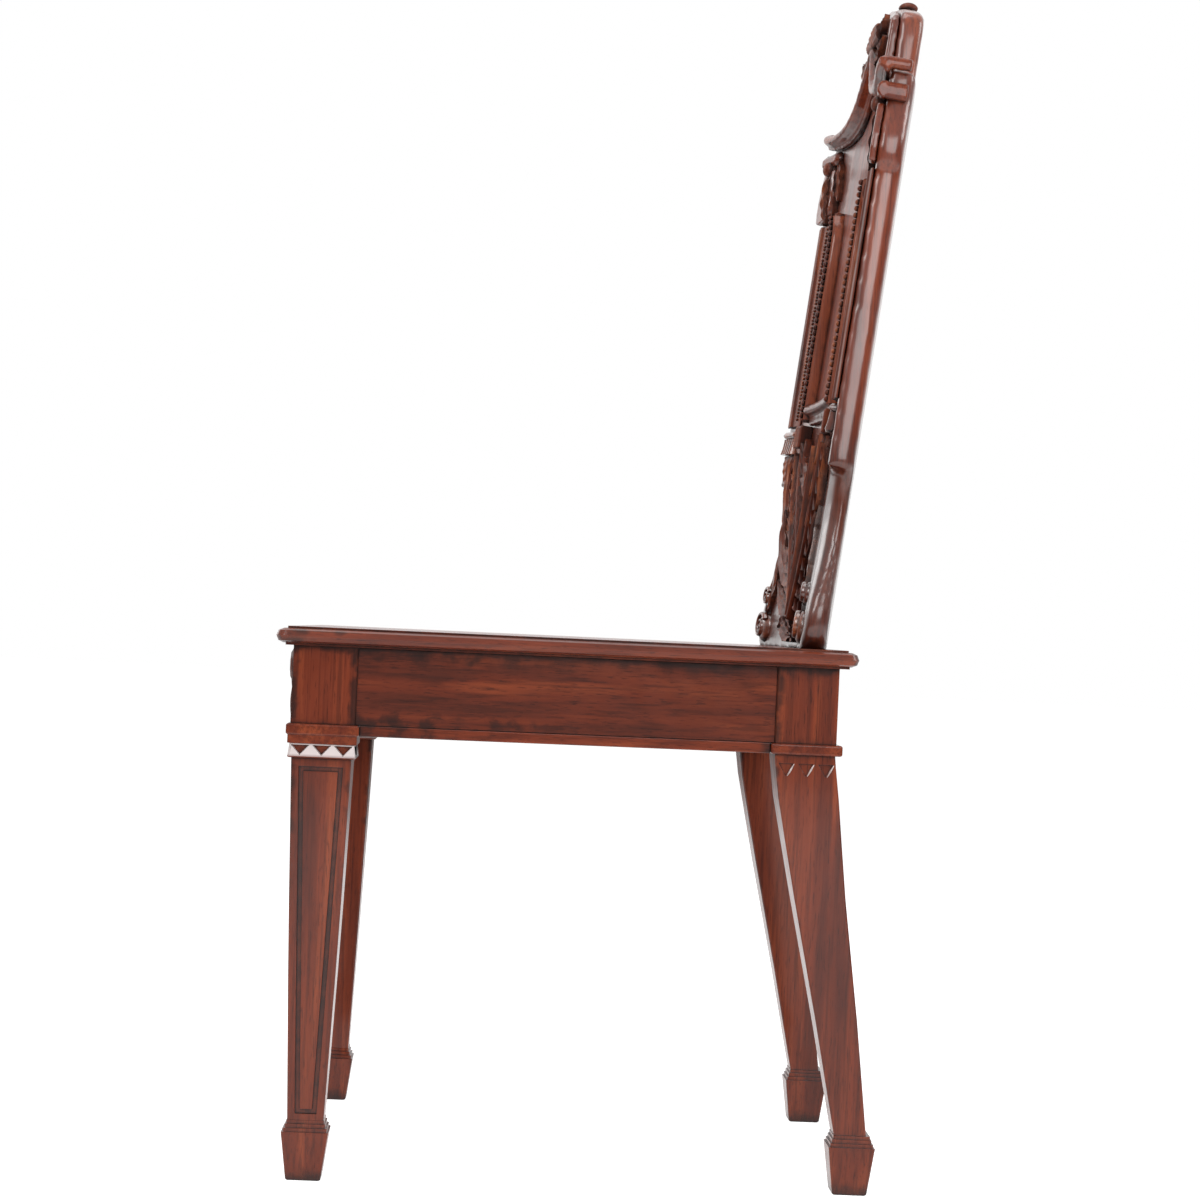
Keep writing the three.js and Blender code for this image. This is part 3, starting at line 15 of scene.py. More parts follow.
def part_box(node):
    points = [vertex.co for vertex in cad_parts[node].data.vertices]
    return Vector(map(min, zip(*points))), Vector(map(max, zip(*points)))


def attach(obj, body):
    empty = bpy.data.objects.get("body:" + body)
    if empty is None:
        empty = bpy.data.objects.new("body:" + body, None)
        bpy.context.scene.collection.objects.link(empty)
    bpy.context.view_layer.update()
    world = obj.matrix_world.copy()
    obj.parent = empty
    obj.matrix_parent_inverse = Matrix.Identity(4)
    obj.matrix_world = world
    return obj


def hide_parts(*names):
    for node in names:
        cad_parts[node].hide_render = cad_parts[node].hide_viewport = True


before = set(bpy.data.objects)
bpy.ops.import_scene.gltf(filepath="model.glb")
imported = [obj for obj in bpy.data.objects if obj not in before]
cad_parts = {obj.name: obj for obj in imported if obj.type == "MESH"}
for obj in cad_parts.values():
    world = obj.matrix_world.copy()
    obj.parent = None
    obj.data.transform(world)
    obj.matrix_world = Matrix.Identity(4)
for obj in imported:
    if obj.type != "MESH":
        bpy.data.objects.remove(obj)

LOG = logging.getLogger("hall_chair")
Point = tuple[float, float]
Colour = tuple[float, float, float]
Socket = bpy.types.NodeSocket
Material = bpy.types.Material

# The sRGB curve: the end and the slope of its straight foot, its offset and its power.
SRGB_KNEE, SRGB_FOOT, SRGB_OFFSET, SRGB_POWER = 0.04045, 12.92, 0.055, 2.4
# The Mix node's sockets for colours.
MIX_FIRST, MIX_SECOND, MIX_RESULT = 6, 7, 2

# Where a noise pattern starts to show and where it is full, and how strongly it then shows.
MIDDLE_SPAN = (0.3, 0.7)
STREAK_SPAN, STREAK_STRENGTH, STREAK_DIM = (0.46, 0.66), 0.45, 0.42
PORE_SPAN, PORE_STRENGTH, PORE_DIM = (0.58, 0.68), 0.5, 0.25
CLOUD_SPAN, CLOUD_STRENGTH, CLOUD_DIM = (0.4, 0.65), 0.22, 0.55
GRIME_SPAN, GRIME_STRENGTH = (0.5, 0.7), 0.3
RUST_SPAN, RUST_STRENGTH = (0.55, 0.7), 0.7
FIGURE_STOPS = (0.3, 0.5, 0.7)
# Openness of a recess: fully darkened by painted shade and wax, and clear of it.
RECESS_SPAN = (0.5, 0.95)
# Upward tilt of the faces that get a painted highlight: from the first span up, to the second.
TILT_START, TILT_END = (0.05, 0.09), (0.4, 0.5)
HIGHLIGHT_RISE, HIGHLIGHT_FOOT = 0.004, 0.25
SHADE_STRENGTH = 0.55
VARNISH_IOR = 1.48

MERGE_DISTANCE = 0.00001
FLAT_ANGLE = math.radians(0.2)
SHARP_ANGLE = math.radians(38)
SMOOTH_ANGLE = math.radians(40)
CARVED_SMOOTH_ANGLE = math.radians(42)
WHITE = (1, 1, 1, 1)


class Grain(Enum):
    """The direction that the grain of a piece runs in."""

    ACROSS = (0.045, 1.0, 1.0)
    DEEP = (1.0, 0.045, 1.0)
    UPRIGHT = (1.0, 1.0, 0.045)

    def stretch(self, factor: float = 1.0) -> tuple[float, ...]:
        """Gives the scale of each axis, the one along the grain times a factor."""
        return tuple(scale if scale == 1 else scale * factor for scale in self.value)


class Polish(Enum):
    """How far a surface is rubbed up: roughness, coat, coat roughness and specular level."""

    FRENCH = (0.42, 0.55, 0.11, 0.15)
    WAXED = (0.55, 0.16, 0.25, 0.2)
    GLOSSED = (0.3, 1.0, 0.14, 0.5)
    BURNISHED = (0.36, 0.9, 0.17, 0.3)
    PLAIN = (0.62, 0.0, 0.5, 0.4)


class Pattern(Enum):
    """Noise patterns of the finishes: features per metre, octaves of detail, distortion."""

    FIGURE = (62.0, 7.0, 0.5)
    STREAKS = (340.0, 4.0, 0.2)
    PORES = (900.0, 2.0, 0.0)
    CLOUDS = (9.0, 3.0, 0.0)
    GRIME = (90.0, 4.0, 0.4)
    WEAR = (45.0, 4.0, 0.0)
    EDGE_WAVE = (60.0, 3.0, 0.0)
    RECESS_WAVE = (70.0, 4.0, 0.0)
    RUST = (700.0, 4.0, 0.0)


class Side(Enum):
    """A side of the chair as the sitter has it, with its sign along X."""

    LEFT = 1
    RIGHT = -1

    def __str__(self) -> str:
        """Gives the word that node names use."""
        return self.name.lower()


def linear(red: int, green: int, blue: int) -> Colour:
    """Turns a screen colour into the linear values that a shader takes.

    Args:
        red: Red from 0 to 255.
        green: Green from 0 to 255.
        blue: Blue from 0 to 255.

    Returns:
        The three linear values.
    """
    return tuple(
        c / SRGB_FOOT if c <= SRGB_KNEE else ((c + SRGB_OFFSET) / (1 + SRGB_OFFSET)) ** SRGB_POWER
        for c in (red / 255, green / 255, blue / 255)
    )


def dimmed(colour: Colour, share: float) -> Colour:
    """Gives a share of a colour's light."""
    return tuple(c * share for c in colour)


class Nodes:
    """A small writer of shader nodes."""

    def __init__(self, tree: bpy.types.NodeTree) -> None:
        """Empties a tree to write in.

        Args:
            tree: The node tree.
        """
        self.tree = tree
        tree.nodes.clear()

    def node(self, kind: str, **settings: object) -> bpy.types.Node:
        """Adds a node and sets its properties.

        Args:
            kind: The node's type name.
            **settings: Properties of the node.

        Returns:
            The new node.
        """
        made = self.tree.nodes.new(kind)
        for key, value in settings.items():
            setattr(made, key, value)
        return made

    def join(self, source: Socket, target: Socket) -> None:
        """Links an output to an input."""
        self.tree.links.new(source, target)

    def value(self, source: object, target: Socket) -> None:
        """Links a socket, or sets a plain value.

        Args:
            source: An output socket or a value.
            target: The input socket.
        """
        if isinstance(source, Socket):
            self.join(source, target)
        else:
            target.default_value = source

    def place(self, scale: Sequence[float] = (1, 1, 1)) -> Socket:
        """Gives Object coordinates, scaled.

        Args:
            scale: How much each axis is scaled.

        Returns:
            The vector output.
        """
        coords = self.node("ShaderNodeTexCoord")
        mapping = self.node("ShaderNodeMapping")
        mapping.inputs["Scale"].default_value = scale
        self.join(coords.outputs["Object"], mapping.inputs["Vector"])
        return mapping.outputs[0]

    def apart(self, vector: Socket | None = None) -> Sequence[Socket]:
        """Takes a vector apart.

        Args:
            vector: The vector; Object coordinates if not given.

        Returns:
            Its X, Y and Z.
        """
        if vector is None:
            vector = self.node("ShaderNodeTexCoord").outputs["Object"]
        made = self.node("ShaderNodeSeparateXYZ")
        self.join(vector, made.inputs[0])
        return made.outputs

    def noise(self, pattern: Pattern, stretch: Sequence[float] = (1, 1, 1)) -> Socket:
        """Adds a noise pattern on Object coordinates.

        Args:
            pattern: Which pattern.
            stretch: How much each axis is scaled.

        Returns:
            The pattern from 0 to 1.
        """
        made = self.node("ShaderNodeTexNoise")
        for name, number in zip(("Scale", "Detail", "Distortion"), pattern.value):
            made.inputs[name].default_value = number
        self.join(self.place(stretch), made.inputs["Vector"])
        return made.outputs["Fac"]

    def ramp(self, source: Socket, stops: Sequence[tuple[float, Colour]]) -> Socket:
        """Adds a colour ramp.

        Args:
            source: The value that drives the ramp.
            stops: Pairs of a position and a colour.

        Returns:
            The colour output.
        """
        made = self.node("ShaderNodeValToRGB")
        elements = made.color_ramp.elements
        while len(elements) < len(stops):
            elements.new(0.5)
        for element, (spot, colour) in zip(elements, stops):
            element.position = spot
            element.color = (*colour, 1.0)
        self.join(source, made.inputs[0])
        return made.outputs[0]

    def span(
        self,
        source: Socket,
        start: float,
        end: float,
        low: float,
        high: float,
        easing: str = "SMOOTHSTEP",
    ) -> Socket:
        """Maps a range of values onto another.

        Args:
            source: The value.
            start: Where the range starts.
            end: Where it ends.
            low: What the start becomes.
            high: What the end becomes.
            easing: How the values run between.

        Returns:
            The mapped value.
        """
        made = self.node("ShaderNodeMapRange", interpolation_type=easing)
        names = ("From Min", "From Max", "To Min", "To Max")
        for name, number in zip(names, (start, end, low, high)):
            made.inputs[name].default_value = number
        self.join(source, made.inputs["Value"])
        return made.outputs[0]

    def sum(self, kind: str, first: object, second: object) -> Socket:
        """Adds a math node.

        Args:
            kind: The operation.
            first: The first value or socket.
            second: The second value or socket.

        Returns:
            The result.
        """
        made = self.node("ShaderNodeMath", operation=kind)
        self.value(first, made.inputs[0])
        self.value(second, made.inputs[1])
        return made.outputs[0]

    def mix(self, share: object, first: object, second: object) -> Socket:
        """Mixes two colours.

        Args:
            share: How much of the second colour shows.
            first: The first colour or socket.
            second: The second colour or socket.

        Returns:
            The colour.
        """
        made = self.node("ShaderNodeMix", data_type="RGBA")
        self.value(share, made.inputs[0])
        for given, index in ((first, MIX_FIRST), (second, MIX_SECOND)):
            self.value(given if isinstance(given, Socket) else (*given, 1.0), made.inputs[index])
        return made.outputs[MIX_RESULT]


class Shader(Nodes):
    """The nodes of one material."""

    def __init__(self, name: str) -> None:
        """Starts an empty material.

        Args:
            name: The name of the material.
        """
        self.material = bpy.data.materials.new(name)
        self.material.use_nodes = True
        super().__init__(self.material.node_tree)
        output = self.node("ShaderNodeOutputMaterial")
        self.surface = self.node("ShaderNodeBsdfPrincipled")
        self.join(self.surface.outputs[0], output.inputs[0])

    def set(self, **values: float) -> None:
        """Sets plain numbers on the surface, each under its socket's name with underscores."""
        for name, number in values.items():
            self.surface.inputs[name.replace("_", " ")].default_value = number

    def bump(self, height: Socket, depth: float, strength: float) -> None:
        """Roughens the surface with a height pattern.

        Args:
            height: The pattern.
            depth: The height in metres that 1 stands for.
            strength: How strongly it shows.
        """
        made = self.node("ShaderNodeBump")
        made.inputs["Strength"].default_value = strength
        made.inputs["Distance"].default_value = depth
        self.join(height, made.inputs["Height"])
        self.join(made.outputs[0], self.surface.inputs["Normal"])


# Pale colour of painted highlights.
PAINTED_HIGHLIGHT = linear(226, 214, 212)
RAIL_LIGHT, RAIL_MIDDLE, RAIL_DARK = linear(150, 70, 38), linear(122, 50, 26), linear(84, 31, 17)


@dataclass(frozen=True)
class WoodFinish:
    """Polished timber with grain, pores, faint figure, dark wax at its edges and painted shade and
    wax in its recesses.
    """

    name: str
    light: Colour
    middle: Colour
    dark: Colour
    grain: Grain
    polish: Polish
    # Colour of old wax and grime, also used for painted shade.
    wax: Colour = linear(26, 12, 9)
    wax_width: float = 0.007
    wax_strength: float = 0.75
    recess_width: float = 0.014
    recess_strength: float = 0.92
    recess_wave: float = 0.1
    pore_depth: float = 0.00012
    carved_depth: float = 2.2
    bump_strength: float = 0.35
    carved: bool = False
    # Heights of a band whose upward faces get a painted highlight.
    painted_highlight: tuple[float, float] | None = None
    shaded: tuple[float, float] | None = None

    def edge_wax(self, shader: Shader, low: Vector, high: Vector) -> Socket:
        """Finds how near a point is to two faces of the piece's box at once.

        Args:
            shader: The material being written.
            low: The lowest corner of the piece.
            high: The highest corner of the piece.

        Returns:
            A value of 1 at an edge of the box, falling to 0 away from it.
        """
        place = shader.apart()
        wave = shader.noise(Pattern.EDGE_WAVE)
        reach = self.wax_width / 2
        nears = []
        for axis in range(3):
            middle = (low[axis] + high[axis]) / 2
            half = (high[axis] - low[axis]) / 2
            off = shader.sum("ABSOLUTE", shader.sum("SUBTRACT", place[axis], middle), 0.0)
            gap = shader.sum("SUBTRACT", half, off)
            ragged = shader.sum("ADD", gap, shader.span(wave, *MIDDLE_SPAN, -reach, reach))
            nears.append(shader.span(ragged, 0.0, self.wax_width, 1.0, 0.0))
        pairs = [
            shader.sum("MULTIPLY", nears[first], nears[second])
            for first, second in ((0, 1), (1, 2), (0, 2))
        ]
        return shader.sum("MAXIMUM", shader.sum("MAXIMUM", pairs[0], pairs[1]), pairs[2])

    def recess_wax(self, shader: Shader) -> Socket:
        """Finds how deep a point sits between other surfaces, for painted shade and old wax there.

        Args:
            shader: The material being written.

        Returns:
            A value of 1 in a corner, falling to 0 on an open surface.
        """
        near = shader.node("ShaderNodeAmbientOcclusion", samples=6)
        near.inputs["Distance"].default_value = self.recess_width
        wave = shader.noise(Pattern.RECESS_WAVE)
        shift = shader.span(wave, *MIDDLE_SPAN, -self.recess_wave, self.recess_wave)
        ragged = shader.sum("ADD", near.outputs["AO"], shift)
        return shader.span(ragged, *RECESS_SPAN, 1.0, 0.0)

    def painted_highlight_face(self, shader: Shader) -> Socket:
        """Finds the faces of a band of carving that tilt up, where a highlight is painted.

        Args:
            shader: The material being written.

        Returns:
            A value of 1 on those faces, falling towards their foot.
        """
        low, high = self.painted_highlight
        tilt = shader.apart(shader.node("ShaderNodeNewGeometry").outputs["True Normal"])[2]
        up = shader.apart()[2]
        rising = shader.span(tilt, *TILT_START, 0.0, 1.0)
        tilted = shader.sum("MULTIPLY", rising, shader.span(tilt, *TILT_END, 1.0, 0.0))
        foot = shader.span(up, low, low + HIGHLIGHT_RISE, HIGHLIGHT_FOOT, 1.0)
        band = shader.sum("MULTIPLY", foot, shader.sum("LESS_THAN", up, high))
        return shader.sum("MULTIPLY", tilted, band)

    def material(self, low: Vector | None = None, high: Vector | None = None) -> Material:
        """Writes the finish for one piece.

        Args:
            low: The lowest corner of the piece, where its edges hold dark wax.
            high: The highest corner of the piece.

        Returns:
            The material.
        """
        shader = Shader(self.name)
        figure = shader.noise(Pattern.FIGURE, self.grain.stretch())
        base = shader.ramp(figure, list(zip(FIGURE_STOPS, (self.dark, self.middle, self.light))))
        streaks = shader.noise(Pattern.STREAKS, self.grain.stretch(0.5))
        streaked = shader.span(streaks, *STREAK_SPAN, 0.0, STREAK_STRENGTH)
        base = shader.mix(streaked, base, dimmed(self.dark, STREAK_DIM))
        pores = shader.noise(Pattern.PORES, self.grain.stretch(1.6))
        pits = shader.sum("MULTIPLY", shader.span(pores, *PORE_SPAN, 0.0, 1.0), PORE_STRENGTH)
        base = shader.mix(pits, base, dimmed(self.dark, PORE_DIM))
        clouds = shader.span(shader.noise(Pattern.CLOUDS), *CLOUD_SPAN, 0.0, CLOUD_STRENGTH)
        base = shader.mix(clouds, base, dimmed(self.middle, CLOUD_DIM))
        if low is not None and high is not None:
            edge = shader.sum("MULTIPLY", self.edge_wax(shader, low, high), self.wax_strength)
            base = shader.mix(edge, base, self.wax)
        # Painted shade in recesses and corners, in the colour of old wax.
        if self.recess_strength:
            recess = shader.sum("MULTIPLY", self.recess_wax(shader), self.recess_strength)
            base = shader.mix(recess, base, self.wax)
        if self.carved:
            grime = shader.span(shader.noise(Pattern.GRIME), *GRIME_SPAN, 0.0, GRIME_STRENGTH)
            base = shader.mix(grime, base, self.wax)
        # Painted highlight on the upward faces of the band.
        if self.painted_highlight:
            base = shader.mix(self.painted_highlight_face(shader), base, PAINTED_HIGHLIGHT)
        # Painted shade: the base is darker below the given heights.
        if self.shaded:
            shade = shader.span(shader.apart()[2], *self.shaded, SHADE_STRENGTH, 0.0)
            base = shader.mix(shade, base, self.wax)
        shader.join(base, shader.surface.inputs["Base Color"])
        rough, coat, coat_rough, specular = self.polish.value
        wear = shader.noise(Pattern.WEAR)
        worn = shader.span(wear, *MIDDLE_SPAN, rough - 0.05, rough + 0.09)
        shader.join(worn, shader.surface.inputs["Roughness"])
        shader.set(Coat_Weight=coat, Coat_Roughness=coat_rough)
        shader.set(Specular_IOR_Level=specular, IOR=VARNISH_IOR)
        raised = shader.sum("MULTIPLY", streaks, 0.6)
        height = shader.sum("ADD", shader.sum("MULTIPLY", pores, -1.0), raised)
        depth = self.pore_depth * (self.carved_depth if self.carved else 1.0)
        shader.bump(height, depth, self.bump_strength)
        return shader.material


@dataclass(frozen=True)
class SteelFinish:
    """Plain screw steel with a little rust."""

    name: str = "screw_steel"
    colour: Colour = linear(141, 138, 132)
    rust: Colour = linear(88, 52, 34)
    roughness: tuple[float, float] = (0.3, 0.55)
    metallic: float = 0.9
    pit_depth: float = 0.00005
    pit_strength: float = 0.3

    def material(self) -> Material:
        """Writes the finish.

        Returns:
            The material.
        """
        shader = Shader(self.name)
        spots = shader.noise(Pattern.RUST)
        rusted = shader.span(spots, *RUST_SPAN, 0.0, RUST_STRENGTH)
        colour = shader.mix(rusted, self.colour, self.rust)
        shader.join(colour, shader.surface.inputs["Base Color"])
        shader.set(Metallic=self.metallic)
        rough = shader.span(spots, *MIDDLE_SPAN, *self.roughness)
        shader.join(rough, shader.surface.inputs["Roughness"])
        shader.bump(spots, self.pit_depth, self.pit_strength)
        return shader.material


CARVED = WoodFinish(
    "carved_mahogany",
    linear(176, 96, 56),
    linear(118, 52, 30),
    linear(66, 28, 18),
    Grain.UPRIGHT,
    Polish.WAXED,
    carved=True,
)


def wood(name: str, grain: Grain, polish: Polish = Polish.FRENCH) -> WoodFinish:
    """Gives the mahogany of the frame with its grain in one direction."""
    return WoodFinish(name, RAIL_LIGHT, RAIL_MIDDLE, RAIL_DARK, grain, polish)


def only(piece: bpy.types.Object) -> None:
    """Selects one object and nothing else.

    Args:
        piece: The object.
    """
    if bpy.context.mode != "OBJECT":
        bpy.ops.object.mode_set(mode="OBJECT")
    bpy.ops.object.select_all(action="DESELECT")
    piece.select_set(True)
    bpy.context.view_layer.objects.active = piece


def paint(node: str, material: Material) -> bpy.types.Object:
    """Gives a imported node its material.

    Args:
        node: The name of the node.
        material: The material.

    Returns:
        The node's object.
    """
    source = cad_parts[node]
    source.data.materials.clear()
    source.data.materials.append(material)
    return source


def modify(piece: bpy.types.Object, kind: str, **settings: object) -> None:
    """Adds a modifier to the active piece and applies it.

    Args:
        piece: The piece.
        kind: The modifier's type.
        **settings: Its properties.
    """
    bpy.ops.object.modifier_add(type=kind)
    modifier = piece.modifiers[-1]
    for key, value in settings.items():
        setattr(modifier, key, value)
    bpy.ops.object.modifier_apply(modifier=modifier.name)


def dress(
    node: str,
    material: Material,
    round_over: float = 0.0007,
    soften: float = 0.0,
    passes: int = 6,
) -> None:
    """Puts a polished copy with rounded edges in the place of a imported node.

    Args:
        node: The name of the node.
        material: Its material.
        round_over: How far each sharp edge is rounded over.
        soften: The cell size when the whole form is worn smooth instead; 0 for none.
        passes: How often a worn form is smoothed.
    """
    source = paint(node, material)
    piece = bpy.data.objects.new(f"{node}_polished", source.data.copy())
    bpy.context.scene.collection.objects.link(piece)
    only(piece)
    bpy.ops.object.mode_set(mode="EDIT")
    bpy.ops.mesh.select_all(action="SELECT")
    bpy.ops.mesh.remove_doubles(threshold=MERGE_DISTANCE)
    if not soften:
        bpy.ops.mesh.dissolve_limited(angle_limit=FLAT_ANGLE)
    bpy.ops.object.mode_set(mode="OBJECT")
    if soften:
        modify(piece, "REMESH", mode="VOXEL", voxel_size=soften)
        modify(piece, "SMOOTH", factor=0.5, iterations=passes)
    else:
        modify(
            piece, "BEVEL", width=round_over, segments=2, limit_method="ANGLE",
            angle_limit=SHARP_ANGLE, miter_outer="MITER_ARC",
        )
    bpy.ops.object.shade_smooth_by_angle(angle=SMOOTH_ANGLE)
    modify(piece, "WEIGHTED_NORMAL", keep_sharp=True)
    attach(piece, "root")
    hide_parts(node)
    LOG.info("dressed %s, %d faces", node, len(piece.data.polygons))


def dress_edged(node: str, finish: WoodFinish) -> None:
    """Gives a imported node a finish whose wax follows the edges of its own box."""
    low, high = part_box(node)
    dress(node, finish.material(Vector(low), Vector(high)))


def seat_middle() -> float:
    """Gives the seat's middle from front to rear in the chair's frame."""
    low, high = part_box("seat_board")
    return (low[1] + high[1]) / 2


@dataclass(frozen=True)
class BoardSpace:
    """Places on the dished and raked back, given across, up and out of its rear face."""

    seat_height: float = 0.470
    rear_y: float = 0.220
    slope: float = 0.1148
    dish_depth: float = 0.01635
    dish_radius: float = 1.104
    face: float = 0.0233
    middle_y: float = field(default_factory=seat_middle)

    def point(self, across: float, up: float, out: float) -> Vector:
        """Finds a place in the chair's frame.

        Args:
            across: Distance from the middle, towards the sitter's left.
            up: Distance up the back from the seat.
            out: Distance forward of the board's rear face.

        Returns:
            The place.
        """
        rake = math.atan(self.slope)
        forward = out - self.dish_depth + across * across / (2 * self.dish_radius)
        y = self.middle_y + self.rear_y + up * math.sin(rake) - forward * math.cos(rake)
        z = self.seat_height + up * math.cos(rake) + forward * math.sin(rake)
        return Vector((across, y, z))


def spline(points: Sequence[Point], steps: int) -> list[Vector]:
    """Draws a smooth line through points.

    Args:
        points: The points, across and up.
        steps: How many spans the line has.

    Returns:
        The points of the line.
    """
    knots = [Vector(p) for p in points]
    knots = [knots[0] * 2 - knots[1], *knots, knots[-1] * 2 - knots[-2]]
    line = []
    for i in range(steps + 1):
        along = i / steps * (len(points) - 1)
        k = min(int(along), len(points) - 2)
        t = along - k
        a, b, c, d = knots[k : k + 4]
        bend = (a * 2 - b * 5 + c * 4 - d) * t**2
        line.append((b * 2 + (c - a) * t + bend + (b * 3 - a - c * 3 + d) * t**3) / 2)
    return line


def both(points: Sequence[Point], side: Side) -> list[Point]:
    """Turns points of the left half to one side."""
    return [(x * side.value, up) for x, up in points]


def fold(share: float, along: float) -> float:
    """The section of a palm leaflet: a ridge with a fine groove along it."""
    return 0.3 + 0.7 * (1 - abs(share)) ** 0.8 - 0.14 * math.exp(-((share / 0.13) ** 2))


def acanthus(share: float, along: float) -> float:
    """The section of an acanthus leaf: curled edges, a raised rib and slanted veins.

    Args:
        share: Where it is across, from -1 to 1.
        along: Where it is along, from 0 to 1.

    Returns:
        The height as a share of the greatest.
    """
    veins = 0.07 * math.cos(2 * math.pi * (4 * along - 1.1 * abs(share)))
    rib = 0.3 * math.exp(-((share / 0.14) ** 2))
    swell = 0.72 + 0.28 * math.sin(math.pi * along)
    return (0.42 + 0.3 * share * share + rib + veins * (0.3 + 0.7 * abs(share))) * swell


def round_rib(share: float, along: float) -> float:
    """The section of a round rib."""
    return 0.1 + 0.9 * math.sqrt(max(1 - share * share, 0.0))


def dome(share: float, along: float) -> float:
    """The section of a round boss.

    Args:
        share: Where it is across, from -1 to 1.
        along: Where it is along, from 0 to 1.

    Returns:
        The height as a share of the greatest.
    """
    half = math.sqrt(max(1 - (2 * along - 1) ** 2, 0.0))
    reach = min(math.hypot(share * half, 2 * along - 1), 1.0)
    return 0.5 + 0.5 * math.sqrt(1 - reach**2)


def even_outline(along: float) -> float:
    """The width of a band that stays as wide."""
    return 1.0


def round_outline(along: float) -> float:
    """The width of a disc along its diameter."""
    return max(math.sqrt(max(1 - (2 * along - 1) ** 2, 0.0)), 0.08)


def leaf_outline(along: float) -> float:
    """The width of a pointed leaflet along its length."""
    return max(math.sin(math.pi * min(0.14 + 0.86 * along, 0.995)) ** 0.8, 0.06)


def lobed_outline(along: float) -> float:
    """The width of an acanthus leaf, cut into lobes."""
    lobes = 0.8 + 0.2 * abs(math.sin(4 * math.pi * along)) ** 0.7
    return max(math.sin(math.pi * (0.1 + 0.88 * along)) ** 0.7 * lobes, 0.08)


def band_outline(along: float) -> float:
    """The width of a band that narrows to its end."""
    return 1.0 - 0.45 * along


@dataclass
class Carving:
    """Closed forms carved on the back, gathered into one piece."""

    name: str
    space: BoardSpace
    vertices: list[Vector] = field(default_factory=list)
    faces: list[list[int]] = field(default_factory=list)

    def loft(self, rings: Sequence[Sequence[Vector]]) -> None:
        """Adds a closed skin over a row of rings with equal numbers of points.

        Args:
            rings: The rings.
        """
        start = len(self.vertices)
        count = len(rings[0])
        for ring in rings:
            self.vertices.extend(ring)
        for r in range(len(rings) - 1):
            for i in range(count):
                a, b = start + r * count + i, start + r * count + (i + 1) % count
                self.faces.append([a, b, b + count, a + count])
        self.faces.append([start + i for i in reversed(range(count))])
        self.faces.append([start + (len(rings) - 1) * count + i for i in range(count)])

    def blade(
        self,
        points: Sequence[Point],
        width: float,
        height: float,
        shape: Callable[[float, float], float],
        outline: Callable[[float], float],
        base: float | None = None,
        lift: float = 0.0,
        steps: int = 18,
        across: int = 8,
        sunk: float = 0.0004,
    ) -> None:
        """Adds a leaf, a rib or a band along a line on the board.

        Args:
            points: The middle line, across and up.
            width: The greatest width.
            height: The greatest height.
            shape: The height as a share, at a share across and a share along.
            outline: The width as a share, at a share along.
            base: How far out its foot lies; the face of the board if not given.
            lift: How much further out its foot lies at the tip.
            steps: Spans along.
            across: Spans across.
            sunk: How far its underside lies below its foot.
        """
        line = spline(points, steps)
        foot = self.space.face if base is None else base
        rings = []
        for i, spot in enumerate(line):
            ahead, behind = line[min(i + 1, steps)], line[max(i - 1, 0)]
            side = Vector((behind.y - ahead.y, ahead.x - behind.x)).normalized()
            along = i / steps
            half = width / 2 * outline(along)
            low = foot + lift * along * along
            top, under = [], []
            for k in range(across + 1):
                share = -1 + 2 * k / across
                at = spot + side * (half * share)
                top.append(self.space.point(at.x, at.y, low + height * shape(share, along)))
                under.append(self.space.point(at.x, at.y, low - sunk))
            rings.append(top + under[::-1])
        self.loft(rings)

    def build(self, finish: Material, slot: str, *nodes: str) -> None:
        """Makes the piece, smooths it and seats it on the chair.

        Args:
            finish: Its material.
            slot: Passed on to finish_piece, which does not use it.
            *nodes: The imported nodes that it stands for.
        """
        mesh = bpy.data.meshes.new(self.name)
        mesh.from_pydata(self.vertices, [], self.faces)
        piece = bpy.data.objects.new(self.name, mesh)
        bpy.context.scene.collection.objects.link(piece)
        finish_piece(piece, finish, slot, *nodes)


def finish_piece(piece: bpy.types.Object, finish: Material, slot: str, *nodes: str) -> None:
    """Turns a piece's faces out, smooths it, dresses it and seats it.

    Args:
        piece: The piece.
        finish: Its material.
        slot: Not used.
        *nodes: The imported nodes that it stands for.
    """
    only(piece)
    bpy.ops.object.mode_set(mode="EDIT")
    bpy.ops.mesh.select_all(action="SELECT")
    bpy.ops.mesh.normals_make_consistent(inside=False)
    bpy.ops.object.mode_set(mode="OBJECT")
    bpy.ops.object.shade_smooth_by_angle(angle=CARVED_SMOOTH_ANGLE)
    piece.data.materials.clear()
    piece.data.materials.append(finish)
    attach(piece, "root")
    if nodes:
        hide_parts(*nodes)
    LOG.info("made %s, %d faces", piece.name, len(piece.data.polygons))


@dataclass
class SeatFrame:
    """The seat board, its rails with their beads, the corner blocks and the screws."""

    side_recess: float = 0.022
    side_wax: float = 0.012

    def dress(self) -> None:
        """Gives each piece its finish."""
        dress_edged("seat_board", wood("seat_mahogany", Grain.DEEP))
        for name in ("front_rail", "rear_rail", "front_rail_bead", "rear_rail_bead"):
            dress_edged(name, wood(f"{name}_mahogany", Grain.ACROSS))
        for side in Side:
            dress_edged(f"{side}_side_rail", WoodFinish(
                f"{side}_side_rail_mahogany",
                linear(134, 60, 32),
                linear(106, 42, 22),
                linear(66, 25, 14),
                Grain.DEEP,
                Polish.FRENCH,
                recess_width=self.side_recess,
                wax_width=self.side_wax,
            ))
            bead = f"{side}_side_rail_bead"
            dress_edged(bead, wood(f"{bead}_mahogany", Grain.DEEP))
        block = WoodFinish(
            "block_timber",
            linear(168, 120, 82),
            linear(140, 92, 60),
            linear(104, 66, 42),
            Grain.ACROSS,
            Polish.PLAIN,
            recess_strength=0.0,
        ).material()
        steel = SteelFinish().material()
        for side in Side:
            for end in ("front", "rear"):
                dress(f"{side}_{end}_corner_block", block)
                dress(f"{side}_{end}_seat_screw", steel)
            for end in ("inner", "outer"):
                dress(f"{side}_{end}_back_screw", steel)


